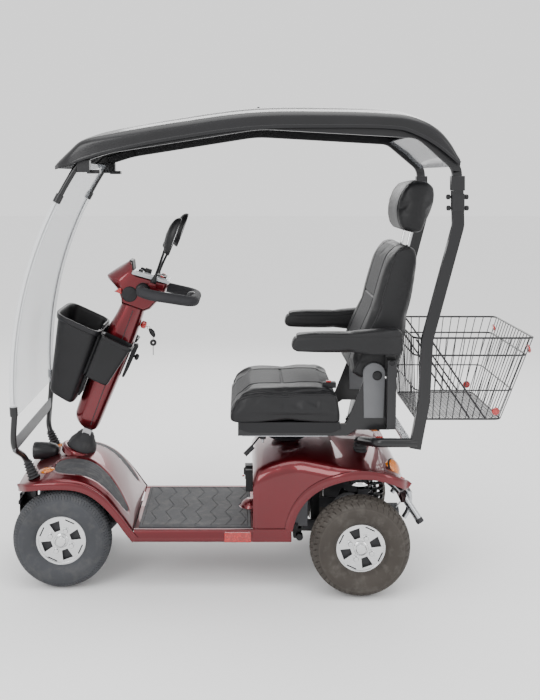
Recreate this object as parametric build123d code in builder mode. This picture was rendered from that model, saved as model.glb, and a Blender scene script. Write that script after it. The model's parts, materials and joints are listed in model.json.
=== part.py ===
from build123d import *
import os
from math import cos, radians, sin

os.makedirs("parts", exist_ok=True)

# Frame: X runs from the front of the scooter (-X) to its back (+X), Y from the rider's left (-Y)
# to the right (+Y), Z up from the floor. The origin is on the floor under the middle of the object.

# ---------------------------------------------------------------- driving dimensions, millimetres
wheelbase = 987.0
front_overhang = 178.0      # front axle to the face of the front bumper
rear_overhang = 566.0       # rear axle to the rim of the rear basket
tyre_r = 165.0
front_track = 410.0         # between the middles of the front tyres
rear_track = 540.0
front_tyre_width = 100.0
rear_tyre_width = 118.0
rim_r = 80.0
rim_width = 66.0
spindle_r = 10.0
running_gap = 0.05          # radial clearance of everything that turns on a shaft
gap = 0.5                   # air left between moving neighbours
seat_gap = 0.02             # separate pieces of one group, seated on each other

deck_top = 33.0             # floor pan above the axles
sill_height = 38.0
body_half_width = 236.0
wall = 4.0                  # plastic body panels
mat_thickness = 4.0

tiller_lean = 20.0          # degrees the tiller leans back from the vertical
tiller_foot = 53.0          # tilt pivot behind the front axle
tiller_pivot_height = 305.0  # tilt pivot above the axles
column_r = 18.0
head_tube_r = 25.0
loop_r = 18.0               # foam grip of the handlebar loop
tiller_cover_half_width = 52.0
basket_half_width = 150.0   # front basket
basket_wall = 4.0

king_pin_y = 135.0
king_pin_r = 9.0
steering_arm = 60.0

swing_arm = 190.0           # rear suspension pivot ahead of the rear axle
rail_y = 95.0               # middle of each chassis rail
rail_size = 30.0

seat_post_x = -227.0        # behind-the-rear-axle coordinate of the seat post
seat_post_r = 30.0
cushion_half_width = 232.0
back_half_width = 205.0
arm_inner = 222.0           # inside face of an armrest
arm_width = 60.0
recline_x = 58.0
recline_z = 534.0           # recline pivot above the axles

mast_half_track = 300.0     # canopy masts and windscreen tubes
mast_depth = 36.0
mast_width = 22.0
roof_half_width = 340.0
roof_wall = 5.0
canopy_rise = 0.0           # extra height of masts, roof and windscreen
screen_thickness = 4.0
screen_tube_r = 11.0

rear_basket_half_width = 237.0
rear_basket_wall = 3.0

# ---------------------------------------------------------------- derived places
length = front_overhang + wheelbase + rear_overhang
x_front = front_overhang - length / 2     # front axle
x_rear = x_front + wheelbase              # rear axle
axle_z = tyre_r
deck_z = axle_z + deck_top
lean = radians(tiller_lean)


def f(dx):
    """X of a point dx behind the front axle."""
    return x_front + dx


def r(dx):
    """X of a point dx behind the rear axle."""
    return x_rear + dx


def up(dz):
    """Z of a point dz above the axles."""
    return axle_z + dz


# The tiller's own plane: x back across the tiller, y to the right, z up along it.
tiller_origin = (f(tiller_foot), 0, up(tiller_pivot_height))
tiller_plane = Plane(origin=tiller_origin, x_dir=(cos(lean), 0, -sin(lean)), z_dir=(sin(lean), 0, cos(lean)))
tiller_side = Plane(origin=tiller_origin, x_dir=(cos(lean), 0, -sin(lean)), z_dir=(0, -1, 0))
tiller_axis = (sin(lean), 0, cos(lean))
tiller_back = (cos(lean), 0, -sin(lean))


def on_tiller(x, y, z):
    """A point given in the tiller's own directions: back across it, to the right and up along it."""
    return tuple(tiller_plane.from_local_coords((x, y, z)))


def save(piece, name):
    """Label a finished piece and write its STEP file."""
    piece.part.label = name
    export_step(piece.part, f"parts/{name}.step")


def block(low, high):
    """A box between two opposite corners."""
    centre = [(a + b) / 2 for a, b in zip(low, high)]
    with BuildPart() as made:
        with Locations(tuple(centre)):
            Box(*[b - a for a, b in zip(low, high)])
    return made.part


def rod(start, end, radius, inner=0):
    """A straight bar, or a tube if it has an inner radius."""
    start = Vector(*start)
    run = Vector(*end) - start
    with BuildPart() as made:
        with BuildSketch(Plane(origin=start, z_dir=run)):
            Circle(radius)
            if inner:
                Circle(inner, mode=Mode.SUBTRACT)
        extrude(amount=run.length)
    return made.part


def bent_rod(points, bend, radius):
    """A bar that follows a route with rounded corners."""
    with BuildPart() as made:
        with BuildLine() as route:
            FilletPolyline(*points, radius=bend)
        with BuildSketch(Plane(origin=route.line @ 0, z_dir=route.line % 0)):
            Circle(radius)
        sweep(path=route.line)
    return made.part


def flat_tube(points, bend, depth, low_y, high_y):
    """A rectangular tube that follows a route in the XZ plane, between two Y values."""
    with BuildPart() as made:
        with BuildSketch(Plane.XZ.offset(-low_y)):
            with BuildLine():
                FilletPolyline(*points, radius=bend)
            trace(line_width=depth)
        extrude(amount=-(high_y - low_y))
    return made.part


def side_plate(points, low_y, high_y, side=Plane.XZ, corner=0):
    """A plate with an outline seen from the side, between two Y values."""
    with BuildPart() as made:
        with BuildSketch(side.offset(-low_y)) as outline:
            with BuildLine():
                Polyline(*points, close=True)
            make_face()
            if corner:
                fillet(outline.vertices(), corner)
        extrude(amount=-(high_y - low_y))
    return made.part


def ring(centre, axis, height, outer, inner, top=None):
    """A round sleeve or cone from a centre along an axis, open in the middle."""
    with BuildPart() as made:
        with BuildSketch(Plane.XZ):
            with BuildLine():
                Polyline((inner, 0), (outer, 0), (top or outer, height), (inner, height), close=True)
            make_face()
        revolve(axis=Axis.Z)
    with BuildPart() as placed:
        with Locations(Plane(origin=centre, z_dir=axis).location):
            add(made.part)
    return placed.part


def arch_loft(sections, corner):
    """A vault through cross sections (x, half width, bottom z, edge z, crown z), corners rounded."""
    with BuildPart() as made:
        for x, half, bottom, edge, crown in sections:
            with BuildSketch(Plane.YZ.offset(x)) as section:
                with BuildLine():
                    Line((-half, bottom), (half, bottom))
                    Line((half, bottom), (half, edge))
                    ThreePointArc((half, edge), (0, crown), (-half, edge))
                    Line((-half, edge), (-half, bottom))
                make_face()
                fillet(section.vertices().group_by(Axis.Y)[-1], min(corner, 0.6 * (edge - bottom)))
        loft(ruled=True)
    return made.part


def inset(sections, thickness, drop, first=0, last=0):
    """The inside of a vault: narrower and lower by its wall, open below, ends moved along X."""
    inner = [(x, w - thickness, b - drop, e - thickness, c - thickness) for x, w, b, e, c in sections]
    inner[0] = (inner[0][0] + first, *inner[0][1:])
    inner[-1] = (inner[-1][0] + last, *inner[-1][1:])
    return inner


# ---------------------------------------------------------------- wheels
def make_tyre(name, x, y, width):
    """A balloon tyre on its rim: round shoulders, flat tread, open inside."""
    half = width / 2
    bead = rim_width / 2
    bulge = (rim_r + tyre_r) / 2 - 4
    shoulder = tyre_r - 12
    with BuildPart() as tyre:
        with BuildSketch(Plane.XY) as section:
            with BuildLine():
                Line((rim_r, -bead), (rim_r, bead))
                ThreePointArc((rim_r, bead), (bulge, half), (shoulder, half * 0.72))
                ThreePointArc((shoulder, half * 0.72), (tyre_r, 0), (shoulder, -half * 0.72))
                ThreePointArc((shoulder, -half * 0.72), (bulge, -half), (rim_r, -bead))
            make_face()
            with BuildLine():
                Line((rim_r + 12, -bead + 8), (rim_r + 12, bead - 8))
                ThreePointArc((rim_r + 12, bead - 8), (bulge + 4, half - 9), (tyre_r - 20, half * 0.5))
                Line((tyre_r - 20, half * 0.5), (tyre_r - 20, -half * 0.5))
                ThreePointArc((tyre_r - 20, -half * 0.5), (bulge + 4, 9 - half), (rim_r + 12, 8 - bead))
            make_face(mode=Mode.SUBTRACT)
        revolve(axis=Axis.Y)
    with BuildPart() as placed:
        with Locations((x, y, axle_z)):
            add(tyre.part)
    save(placed, name)


rim_face = 30.0             # outer face of the wheel disc outboard of the wheel's middle
disc_thickness = 10.0
hub_r = 24.0
nut_circle_r = 38.0
nut_r = 8.5
nut_height = 8.0
hub_cap_r = 17.0
window_angle = 20.0


def make_rim(name, x, y, side):
    """A cast wheel with four windows and slots, its four nuts and a hub cap, disc facing side * Y."""
    with BuildPart() as rim:
        with BuildSketch(Plane.XZ.offset(-rim_width / 2)):
            Circle(rim_r)
            Circle(rim_r - 5, mode=Mode.SUBTRACT)
        extrude(amount=rim_width)
        with BuildSketch(Plane.XZ.offset(rim_face - disc_thickness)):
            Circle(rim_r - 4)
            with PolarLocations(49, 4, window_angle):
                Trapezoid(36, 32, 76, rotation=90, mode=Mode.SUBTRACT)
            with PolarLocations(70, 4, window_angle + 45):
                SlotOverall(34, 4, rotation=90, mode=Mode.SUBTRACT)
        extrude(amount=disc_thickness)
        with BuildSketch(Plane.XZ.offset(-10)):
            Circle(hub_r)
        extrude(amount=rim_face)
        with BuildSketch(Plane.XZ.offset(-rim_width)):
            Circle(spindle_r + running_gap)
        extrude(amount=2 * rim_width, mode=Mode.SUBTRACT)
    with BuildPart() as trim:
        with BuildSketch(Plane.XZ.offset(rim_face + seat_gap)):
            with PolarLocations(nut_circle_r, 4, window_angle + 45):
                RegularPolygon(nut_r, 6)
        extrude(amount=nut_height)
        with BuildSketch(Plane.XZ.offset(rim_face + seat_gap)):
            Circle(hub_cap_r)
        extrude(amount=12)
        with BuildSketch(Plane.XZ.offset(rim_face)):
            Circle(spindle_r + running_gap)
        extrude(amount=6, mode=Mode.SUBTRACT)
    turn = 0 if side < 0 else 180
    with BuildPart() as placed:
        with Locations(Location((x, y, axle_z), (0, 0, turn))):
            add(rim.part)
            add(trim.part)
    save(placed, name)


for side_name, side in (("left", -1), ("right", 1)):
    make_tyre(f"front_{side_name}_tyre", x_front, side * front_track / 2, front_tyre_width)
    make_tyre(f"rear_{side_name}_tyre", x_rear, side * rear_track / 2, rear_tyre_width)
    make_rim(f"front_{side_name}_rim", x_front, side * front_track / 2, side)
    make_rim(f"rear_{side_name}_rim", x_rear, side * rear_track / 2, side)

# ---------------------------------------------------------------- chassis
spine_z = (up(-15), up(15))
upper_z = (up(230), up(260))
leg_y = 188.0               # feet of the windscreen legs
leg_foot = (-93.0, 195.0)   # their X behind the front axle and Z above the axles
post_x = 14.0               # canopy posts behind the rear axle
post_y = 140.0
post_r = 16.0
eye_height = 44.0
swing_pivot_r = 8.0
swing_y = 120.0             # middle of each swing arm
swing_width = 14.0
head_tube_top = 150.0       # mouth of the head tube below the tilt pivot
head_tube_length = 180.0
column_length = 150.0       # steering column inside the head tube

with BuildPart() as chassis:
    # twin rails under the floor, joined to a narrow nose between the front wheels
    for side in (-1, 1):
        low, high = sorted((side * (rail_y - rail_size / 2), side * (rail_y + rail_size / 2)))
        add(block((f(215), low, spine_z[0]), (r(-120), high, spine_z[1])))
        add(block((r(-150), low, spine_z[0]), (r(-120), high, upper_z[1])))
        add(block((r(-290), low, upper_z[0]), (r(105), high, upper_z[1])))
    nose_half = 30
    add(block((f(-150), -nose_half, spine_z[0]), (f(245), nose_half, spine_z[1])))
    add(block((f(215), -rail_y, spine_z[0]), (f(245), rail_y, spine_z[1])))
    for x in (f(330), (f(245) + r(-120)) / 2, r(-260)):
        add(block((x - 15, -rail_y, spine_z[0]), (x + 15, rail_y, spine_z[1])))
    add(block((r(-150), -rail_y, upper_z[0]), (r(-120), rail_y, upper_z[1])))
    # seat post foot, canopy post beam and shock beam
    add(block((r(-290), -rail_y, upper_z[0]), (r(-165), rail_y, upper_z[0] + 8)))
    add(block((r(post_x - 22), -post_y - 22, upper_z[0]), (r(post_x + 22), post_y + 22, upper_z[1])))
    add(block((r(45), -190, upper_z[0]), (r(95), 190, upper_z[0] + 12)))
    # front axle beam with an eye for each king pin
    add(block((f(-15), -king_pin_y, up(-12)), (f(15), king_pin_y, up(12))))
    for side in (-1, 1):
        with Locations((x_front, side * king_pin_y, axle_z)):
            Cylinder(17, eye_height)
            Cylinder(king_pin_r + running_gap, 2 * eye_height, mode=Mode.SUBTRACT)
    # cross arm that carries the windscreen legs over the wheels
    add(block((f(-108), -nose_half, spine_z[0]), (f(-78), nose_half, up(190))))
    add(block((f(-108), -leg_y - 14, up(174)), (f(-78), leg_y + 14, up(190))))
    # lugs for the swing arm, outboard of the rails
    for side in (-1, 1):
        low, high = sorted((side * (rail_y + rail_size / 2), side * (swing_y + swing_width / 2 + gap + 10)))
        add(block((r(-swing_arm - 42), low, up(0)), (r(-swing_arm - 24), high, up(27))))
        inner = swing_y + swing_width / 2 + gap
        low, high = sorted((side * inner, side * (inner + 10)))
        add(block((r(-swing_arm - 42), low, up(0)), (r(-swing_arm + 14), high, up(27))))
    with Locations(Location((r(-swing_arm), 0, up(14)), (90, 0, 0))):
        Cylinder(swing_pivot_r, 2 * (swing_y + swing_width / 2 + gap + 10))
    # bumper bracket
    add(block((f(-165), -20, up(40)), (f(-130), 20, up(100))))
    add(block((f(-150), -20, spine_z[1]), (f(-130), 20, up(40))))
    # head tube, leaning with the tiller
    with BuildSketch(tiller_plane.offset(-head_tube_top)):
        Circle(head_tube_r)
    extrude(amount=-head_tube_length)
    with BuildSketch(tiller_plane.offset(-head_tube_top)):
        Circle(column_r + running_gap)
    extrude(amount=2 - column_length, mode=Mode.SUBTRACT)
save(chassis, "chassis_frame")

# ---------------------------------------------------------------- front steering
spindle_reach = front_track / 2 + 28
knuckle_half = eye_height / 2 + gap

for side_name, side in (("left", -1), ("right", 1)):
    with BuildPart() as knuckle:
        # fork above and below the beam's eye, on the king pin
        for top in (-1, 1):
            with Locations((x_front, side * king_pin_y, axle_z + top * (knuckle_half + 6))):
                Cylinder(17, 12)
        with Locations((x_front, side * king_pin_y, axle_z)):
            Cylinder(king_pin_r, 2 * knuckle_half + 4)
        low, high = sorted((side * (king_pin_y + 18 + gap), side * (king_pin_y + 30)))
        add(block((f(-14), low, axle_z - knuckle_half - 12), (f(14), high, axle_z + knuckle_half + 12)))
        low, high = sorted((side * king_pin_y, side * (king_pin_y + 30)))
        for top in (-1, 1):
            z = axle_z + top * (knuckle_half + 6)
            add(block((f(-14), low, z - 6), (f(14), high, z + 6)))
        add(rod((x_front, side * (king_pin_y + 20), axle_z), (x_front, side * spindle_reach, axle_z), spindle_r))
        # steering arm towards the back, above the beam
        z = axle_z + knuckle_half + 6
        low, high = side * king_pin_y - 8, side * king_pin_y + 8
        add(block((f(0), low, z - 6), (f(steering_arm + 8), high, z + 6)))
    save(knuckle, f"{side_name}_steering_knuckle")

tie_z = axle_z + knuckle_half + 12 + gap
with BuildPart() as tie_rod:
    add(rod((f(steering_arm), -king_pin_y, tie_z + 7), (f(steering_arm), king_pin_y, tie_z + 7), 5))
    for side in (-1, 1):
        with Locations((f(steering_arm), side * king_pin_y, tie_z + 7)):
            Cylinder(11, 14)
save(tie_rod, "tie_rod")

collar_height = 40.0
with BuildPart() as column:
    # column in the head tube, with a collar on its mouth and a clevis for the tiller's tilt pin
    with BuildSketch(tiller_plane.offset(2 - head_tube_top)):
        Circle(column_r)
    extrude(amount=-column_length)
    with BuildSketch(tiller_plane.offset(gap - head_tube_top)):
        Circle(head_tube_r)
    extrude(amount=collar_height)
    with BuildSketch(tiller_plane.offset(gap + collar_height - head_tube_top)):
        Circle(column_r)
    extrude(amount=85)
    with BuildSketch(tiller_plane.offset(-26)):
        Rectangle(30, 44)
    extrude(amount=42)
    with BuildSketch(tiller_plane.offset(-16)):
        Rectangle(40, 26)
    extrude(amount=42, mode=Mode.SUBTRACT)
    with Locations(Location(tiller_plane.origin, (90, 0, 0))):
        Cylinder(6, 44)
save(column, "steering_column")

# ---------------------------------------------------------------- front body
cowl_sections = [
    (f(-150), 190, up(155), up(172), up(182)),
    (f(-110), 230, up(170), up(190), up(206)),
    (f(-30), 240, up(176), up(200), up(229)),
    (f(45), 240, up(174), up(197), up(240)),
    (f(95), 240, up(156), up(181), up(230)),
    (f(140), 240, up(124), up(152), up(194)),
    (f(180), 240, up(78), up(110), up(138)),
    (f(210), 240, up(34), up(72), up(88)),
    (f(238), 240, up(-3), up(33), up(38)),
]
boot_base_r = 52.0
boot_low = 12.0             # boot foot above the cowl's crown
lamp_r = 29.0
lamp_length = 92.0
lamp_place = Location((f(-91), 0, up(236)), (0, 90, 0))
front_lamp_places = [(f(-58), side * 151, up(206)) for side in (-1, 1)]
mat_channel = 8.0

with BuildPart() as cowl:
    add(arch_loft(cowl_sections, 14))
    add(arch_loft(inset(cowl_sections, wall, 10, first=wall, last=2), 10), mode=Mode.SUBTRACT)
    # round openings for the steering boot, the headlight, the indicators and the windscreen legs
    with BuildSketch(tiller_plane.offset(-90)):
        Circle(boot_base_r)
    extrude(amount=60, both=True, mode=Mode.SUBTRACT)
    with Locations(lamp_place):
        Cylinder(lamp_r, lamp_length, mode=Mode.SUBTRACT)
    with Locations(*front_lamp_places):
        Cylinder(20, 30, mode=Mode.SUBTRACT)
    with Locations((f(-98), -leg_y, up(200)), (f(-98), leg_y, up(200))):
        Cylinder(25, 60, mode=Mode.SUBTRACT)
save(cowl, "front_cowl")

with BuildPart() as bumper:
    with BuildSketch(Plane.XY.offset(up(44))):
        with BuildLine():
            ThreePointArc((f(-168), -100), (f(-front_overhang), 0), (f(-168), 100))
            Polyline((f(-168), 100), (f(-165), 100), (f(-165), -100), (f(-168), -100))
        make_face()
    extrude(amount=52)
save(bumper, "front_bumper")

with BuildPart() as lamp:
    with Locations(lamp_place):
        Cylinder(lamp_r, lamp_length)
        with Locations((0, 0, -lamp_length / 2)):
            Cylinder(lamp_r - 3, 12, mode=Mode.SUBTRACT)
save(lamp, "headlight_housing")

with BuildPart() as lens:
    with Locations(lamp_place):
        with Locations((0, 0, 4 - lamp_length / 2)):
            Cylinder(lamp_r - 3 - seat_gap, 4)
save(lens, "headlight_lens")

# ---------------------------------------------------------------- floor and mats
shroud_front = -350.0       # behind the rear axle
sill_end = -222.0
dome_r = 34.0
floor_front = f(240) + gap
dome_x = r(shroud_front) - 4

with BuildPart() as floor_pan:
    add(block((floor_front, -body_half_width, deck_z - sill_height), (r(sill_end), body_half_width, deck_z)))
    with Locations((dome_x, 0, deck_z - wall)):
        Sphere(dome_r)
    add(block((r(shroud_front) - 0.5, -60, deck_z), (r(shroud_front) + 60, 60, up(90))), mode=Mode.SUBTRACT)
    under_low = (floor_front - 1, wall - body_half_width, deck_z - 2 * sill_height)
    under_high = (r(sill_end) + 1, body_half_width - wall, deck_z - wall)
    add(block(under_low, under_high), mode=Mode.SUBTRACT)
save(floor_pan, "floor_pan")

mat_half_width = 204.0
mat_low = (floor_front + 14, -mat_half_width, deck_z)
mat_high = (r(shroud_front) - 6, mat_half_width, deck_z + mat_thickness)
with BuildPart() as floor_mat:
    add(block(mat_low, mat_high))
    with Locations((dome_x, 0, deck_z)):
        Cylinder(dome_r + 6, 40, mode=Mode.SUBTRACT)
save(floor_mat, "floor_mat")

# ---------------------------------------------------------------- rear body
arch_r = tyre_r + 66
shroud_sections = [
    (r(shroud_front), 230, up(40), up(206), up(226)),
    (r(-335), 236, up(40), up(226), up(250)),
    (r(-265), 236, up(40), up(256), up(282)),
    (r(-205), 240, up(40), up(268), up(292)),
    (r(-150), 262, up(40), up(266), up(294)),
    (r(-76), 292, up(40), up(260), up(291)),
    (r(7), 300, up(40), up(254), up(288)),
    (r(75), 300, up(60), up(246), up(283)),
    (r(105), 292, up(100), up(236), up(272)),
    (r(128), 280, up(140), up(220), up(252)),
    (r(146), 264, up(162), up(196), up(222)),
    (r(158), 244, up(172), up(182), up(194)),
]
tail_lamp_low = (r(84), -34, up(274))
tail_lamp_high = (r(110), 34, up(296))
rear_lamp_r = 28.0
rear_lamp_places = [
    Plane(origin=(r(112), side * 224, up(243)), z_dir=(0.75, side * 0.45, 0.5)).location for side in (-1, 1)
]
post_boot_r = 27.0

with BuildPart() as shroud:
    add(arch_loft(shroud_sections, 22))
    add(arch_loft(inset(shroud_sections, wall, 60, first=wall, last=-wall), 18), mode=Mode.SUBTRACT)
    for side in (-1, 1):
        with Locations(Location((r(8), side * 270, axle_z), (90, 0, 0))):
            Cylinder(arch_r, 160, mode=Mode.SUBTRACT)
        with Locations((r(post_x), side * post_y, up(280))):
            Cylinder(post_boot_r, 80, mode=Mode.SUBTRACT)
    with Locations(*rear_lamp_places):
        Cylinder(rear_lamp_r, 60, mode=Mode.SUBTRACT)
    with Locations((r(seat_post_x), 0, up(280))):
        Cylinder(seat_post_r + 8, 80, mode=Mode.SUBTRACT)
    add(block(tail_lamp_low, tail_lamp_high), mode=Mode.SUBTRACT)
save(shroud, "rear_shroud")

with BuildPart() as battery:
    for side in (-1, 1):
        low, high = sorted((side * 4, side * 196))
        add(block((r(-316), low, deck_z), (r(-165), high, deck_z + 170)))
save(battery, "battery_pack")

with BuildPart() as socket:
    with Locations((r(shroud_front) - 10, -45, up(176))):
        Box(20, 40, 46)
save(socket, "charge_socket")

with BuildPart() as lenses:
    with Locations(*front_lamp_places):
        Cylinder(20, 22)
    with Locations(*rear_lamp_places):
        Cylinder(rear_lamp_r, 26)
    add(block(tail_lamp_low, tail_lamp_high))
save(lenses, "signal_lenses")

with BuildPart() as reflectors:
    for side in (-1, 1):
        low, high = sorted((side * body_half_width, side * (body_half_width + 5)))
        add(block((r(-445), low, deck_z - sill_height), (r(-356), high, deck_z - 2)))
save(reflectors, "sill_reflectors")

# ---------------------------------------------------------------- rear suspension and drive
shock_x = 65.0
rod_x = shock_x + 4.5       # piston rod, off centre at rest because it swings forward as the axle rises
shock_y = 165.0
spring_z = (up(47), up(226))

with BuildPart() as transaxle:
    add(rod((x_rear, -195, axle_z), (x_rear, 195, axle_z), 26))
    add(rod((x_rear, -rear_track / 2 - 28, axle_z), (x_rear, rear_track / 2 + 28, axle_z), spindle_r))
    add(rod((x_rear, -45, axle_z), (x_rear, 45, axle_z), 68))
    arm = [(-208, -2), (-208, 30), (-170, 30), (0, 22), (0, -22), (-170, -2)]
    for side in (-1, 1):
        low, high = sorted((side * (swing_y - swing_width / 2), side * (swing_y + swing_width / 2)))
        add(side_plate([(r(x), up(z)) for x, z in arm], low, high))
        low, high = sorted((side * 150, side * 180))
        add(block((r(0), low, up(6)), (r(88), high, up(24))))
        add(block((r(44), low, up(6)), (r(88), high, up(45))))
        add(rod((r(rod_x), side * shock_y, up(40)), (r(rod_x), side * shock_y, up(140)), 6))
    with Locations(Location((r(-swing_arm), 0, up(14)), (90, 0, 0))):
        Cylinder(swing_pivot_r + running_gap, 300, mode=Mode.SUBTRACT)
save(transaxle, "transaxle")

with BuildPart() as motor:
    add(rod((r(68), 0, axle_z), (r(168), 0, axle_z), 44))
save(motor, "drive_motor")

with BuildPart() as shocks:
    for side in (-1, 1):
        add(ring((r(shock_x), side * shock_y, up(120)), (0, 0, 1), 110, 18, 12))
save(shocks, "shock_absorbers")

with BuildPart() as springs:
    for side in (-1, 1):
        add(ring((r(shock_x), side * shock_y, spring_z[0]), (0, 0, 1), spring_z[1] - spring_z[0], 26, 20))
save(springs, "shock_springs")

with BuildPart() as rear_bumper:
    for side in (-1, 1):
        route = [(80, 115, 228.5), (84, 115, 190), (150, 130, 140), (217, 170, 40)]
        add(bent_rod([(r(x), side * y, up(z)) for x, y, z in route], 16, 12))
    add(rod((r(183.5), -150, up(90)), (r(183.5), 150, up(90)), 9))
save(rear_bumper, "rear_bumper")

# ---------------------------------------------------------------- seat
rail_plate_z = up(335)
seat_low = rail_plate_z + 9 + 4 + gap
cushion_low = seat_low + 41.5
with BuildPart() as seat_post:
    add(ring((r(seat_post_x), 0, upper_z[0] + 8), (0, 0, 1), 88, seat_post_r, 22))
save(seat_post, "seat_post")

lever_x = -316.0
lever_y = -160.0
with BuildPart() as seat_rail:
    # swivel plate on the post, its pivot inside the post, and the two slide rails
    with Locations((r(seat_post_x), 0, rail_plate_z - 4)):
        Cylinder(70, 8 - 2 * gap)
    with Locations((r(seat_post_x), 0, rail_plate_z - 38)):
        Cylinder(22 - running_gap, 70)
    add(block((r(-386), -170, rail_plate_z - gap), (r(-99), 170, rail_plate_z + 9)))
    for side in (-1, 1):
        add(block((r(-386), side * 120 - 12, rail_plate_z + 9), (r(-99), side * 120 + 12, rail_plate_z + 13)))
    with Locations((r(lever_x), lever_y, rail_plate_z - 12)):
        Cylinder(4, 24)
save(seat_rail, "seat_rail")

with BuildPart() as seat_lever:
    add(ring((r(lever_x), lever_y, rail_plate_z - 11), (0, 0, 1), 10, 10, 4 + running_gap))
    stem = [(lever_x - 9, lever_y, -6), (lever_x - 14, lever_y - 4, -6), (-375, -178, -58)]
    add(bent_rod([(r(x), y, rail_plate_z + z) for x, y, z in stem], 2, 3))
    add(rod((r(-349), -170, rail_plate_z - 35), (r(-377), -179, rail_plate_z - 61), 8))
save(seat_lever, "seat_lever")

hinge_inner = back_half_width + 4
hinge_outer = hinge_inner + 5
pad_pivot = (r(101), up(670))
pin_r = 8.0
with BuildPart() as seat_frame:
    # seat pan, recline side plates and the uprights that carry the armrests
    add(block((r(-400), -hinge_outer, seat_low), (r(-60), hinge_outer, cushion_low)))
    plate = [(-110, 349), (-40, 349), (-10, 369), (100, 369), (118, 380), (118, 415), (92, 535)]
    plate += [(58, 577), (14, 535), (-42, 389), (-110, 389)]
    for side in (-1, 1):
        low, high = sorted((side * hinge_inner, side * hinge_outer))
        add(side_plate([(r(x), up(z)) for x, z in plate], low, high))
        low, high = sorted((side * hinge_inner, side * (arm_inner + 30)))
        add(block((r(87), low, up(380)), (r(116), high, up(410))))
        low, high = sorted((side * (arm_inner + 4), side * (arm_inner + 30)))
        add(block((r(87), low, up(400)), (r(116), high, up(609))))
        low, high = sorted((side * hinge_outer, side * (arm_inner + 4)))
        add(block((r(84), low, up(575)), (r(119), high, up(609))))
        low, high = sorted((side * hinge_outer, side * (arm_inner - 1.5)))
        add(block((r(84), low, up(600)), (r(119), high, up(688))))
    for x, z in ((r(recline_x), up(recline_z)), pad_pivot):
        with Locations(Location((x, 0, z), (90, 0, 0))):
            Cylinder(pin_r + running_gap, 600, mode=Mode.SUBTRACT)
save(seat_frame, "seat_frame")

cushion = [(-436, 400), (-430, 468), (-340, 500), (-180, 507), (-50, 498), (-50, 390), (-424, 390)]
with BuildPart() as seat_cushion:
    add(side_plate([(r(x), up(z)) for x, z in cushion], -cushion_half_width, cushion_half_width, corner=9))
save(seat_cushion, "seat_cushion")

post_lean = radians(12)
post_axis = (sin(post_lean), 0, cos(post_lean))
post_foot = (166, 907)      # headrest post foot behind the rear axle and above the axles
post_length = 118
headrest_post_y = 60.0
headrest_post_r = 6.0
back = [(-29, 545), (0, 640), (60, 800), (104, 940), (128, 990), (170, 996)]
back += [(192, 964), (160, 700), (122, 550), (98, 528), (0, 526)]
with BuildPart() as backrest:
    add(side_plate([(r(x), up(z)) for x, z in back], -back_half_width, back_half_width, corner=8))
    for side in (-1, 1):
        start = Vector(r(post_foot[0]), side * headrest_post_y, up(post_foot[1])) - Vector(*post_axis) * 22
        end = start + Vector(*post_axis) * 200
        add(rod(start, end, headrest_post_r + running_gap), mode=Mode.SUBTRACT)
        pin = [(r(recline_x), side * y, up(recline_z)) for y in (back_half_width - 4, hinge_outer)]
        add(rod(*pin, pin_r))
save(backrest, "backrest")

head = [(150, 1018), (218, 1010), (262, 1120), (264, 1160), (240, 1198), (170, 1192), (127, 1130), (130, 1070)]
with BuildPart() as headrest:
    add(side_plate([(r(x), up(z)) for x, z in head], -132, 132, corner=14))
    for side in (-1, 1):
        start = Vector(r(post_foot[0]), side * headrest_post_y, up(post_foot[1]))
        add(rod(start, start + Vector(*post_axis) * post_length, headrest_post_r))
save(headrest, "headrest")

pad = [(-234, 655), (-216, 706), (138, 715), (138, 627), (-150, 640)]
for side_name, side in (("left", -1), ("right", 1)):
    with BuildPart() as armrest:
        low, high = sorted((side * arm_inner, side * (arm_inner + arm_width)))
        add(side_plate([(r(x), up(z)) for x, z in pad], low, high, corner=7))
        pin = [(pad_pivot[0], side * y, pad_pivot[1]) for y in (hinge_outer + gap, arm_inner)]
        add(rod(*pin, pin_r))
    save(armrest, f"{side_name}_armrest")

# ---------------------------------------------------------------- canopy
mast_low = mast_half_track - mast_width / 2
mast_high = mast_half_track + mast_width / 2
tube_z = up(350)
with BuildPart() as masts:
    for side in (-1, 1):
        low, high = sorted((side * mast_low, side * mast_high))
        route = [(170, 332), (197, 489), (203, 684), (295, 1051), (290, 1160 + canopy_rise)]
        add(flat_tube([(r(x), up(z)) for x, z in route], 60, mast_depth, low, high))
        start = (r(post_x), side * post_y, upper_z[1])
        corner = (r(post_x), side * post_y, up(312))
        out = (r(post_x + 34), side * mast_half_track, tube_z)
        add(bent_rod([start, corner, out, (r(176), side * mast_half_track, tube_z)], 26, 15))
save(masts, "canopy_masts")

with BuildPart() as rails:
    for side in (-1, 1):
        low, high = sorted((side * mast_low, side * mast_high))
        route = [(290, 1160.2), (286.5, 1236), (164, 1338), (-331, 1366), (-800, 1292), (-888, 1264)]
        bends = [60, 70, 400, 300]
        points = [(r(x), up(z) + canopy_rise) for x, z in route]
        add(flat_tube(points, bends, 30, low, high))
save(rails, "canopy_rails")

roof_sections = [
    (-975, 300, 1229, 1237, 1248),
    (-944, 322, 1233, 1266, 1282),
    (-887, 336, 1256, 1313, 1338),
    (-795, 340, 1282, 1332, 1364),
    (-362, 340, 1352, 1396, 1432),
    (101, 340, 1352, 1392, 1428),
    (224, 338, 1295, 1346, 1376),
    (291, 335, 1240, 1256, 1272),
]
roof_sections = [(r(x), w, *[up(z) + canopy_rise for z in rest]) for x, w, *rest in roof_sections]
with BuildPart() as roof:
    add(arch_loft(roof_sections, 12))
    add(arch_loft(inset(roof_sections, roof_wall, 12, first=roof_wall, last=2), 10), mode=Mode.SUBTRACT)
save(roof, "canopy_roof")

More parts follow.
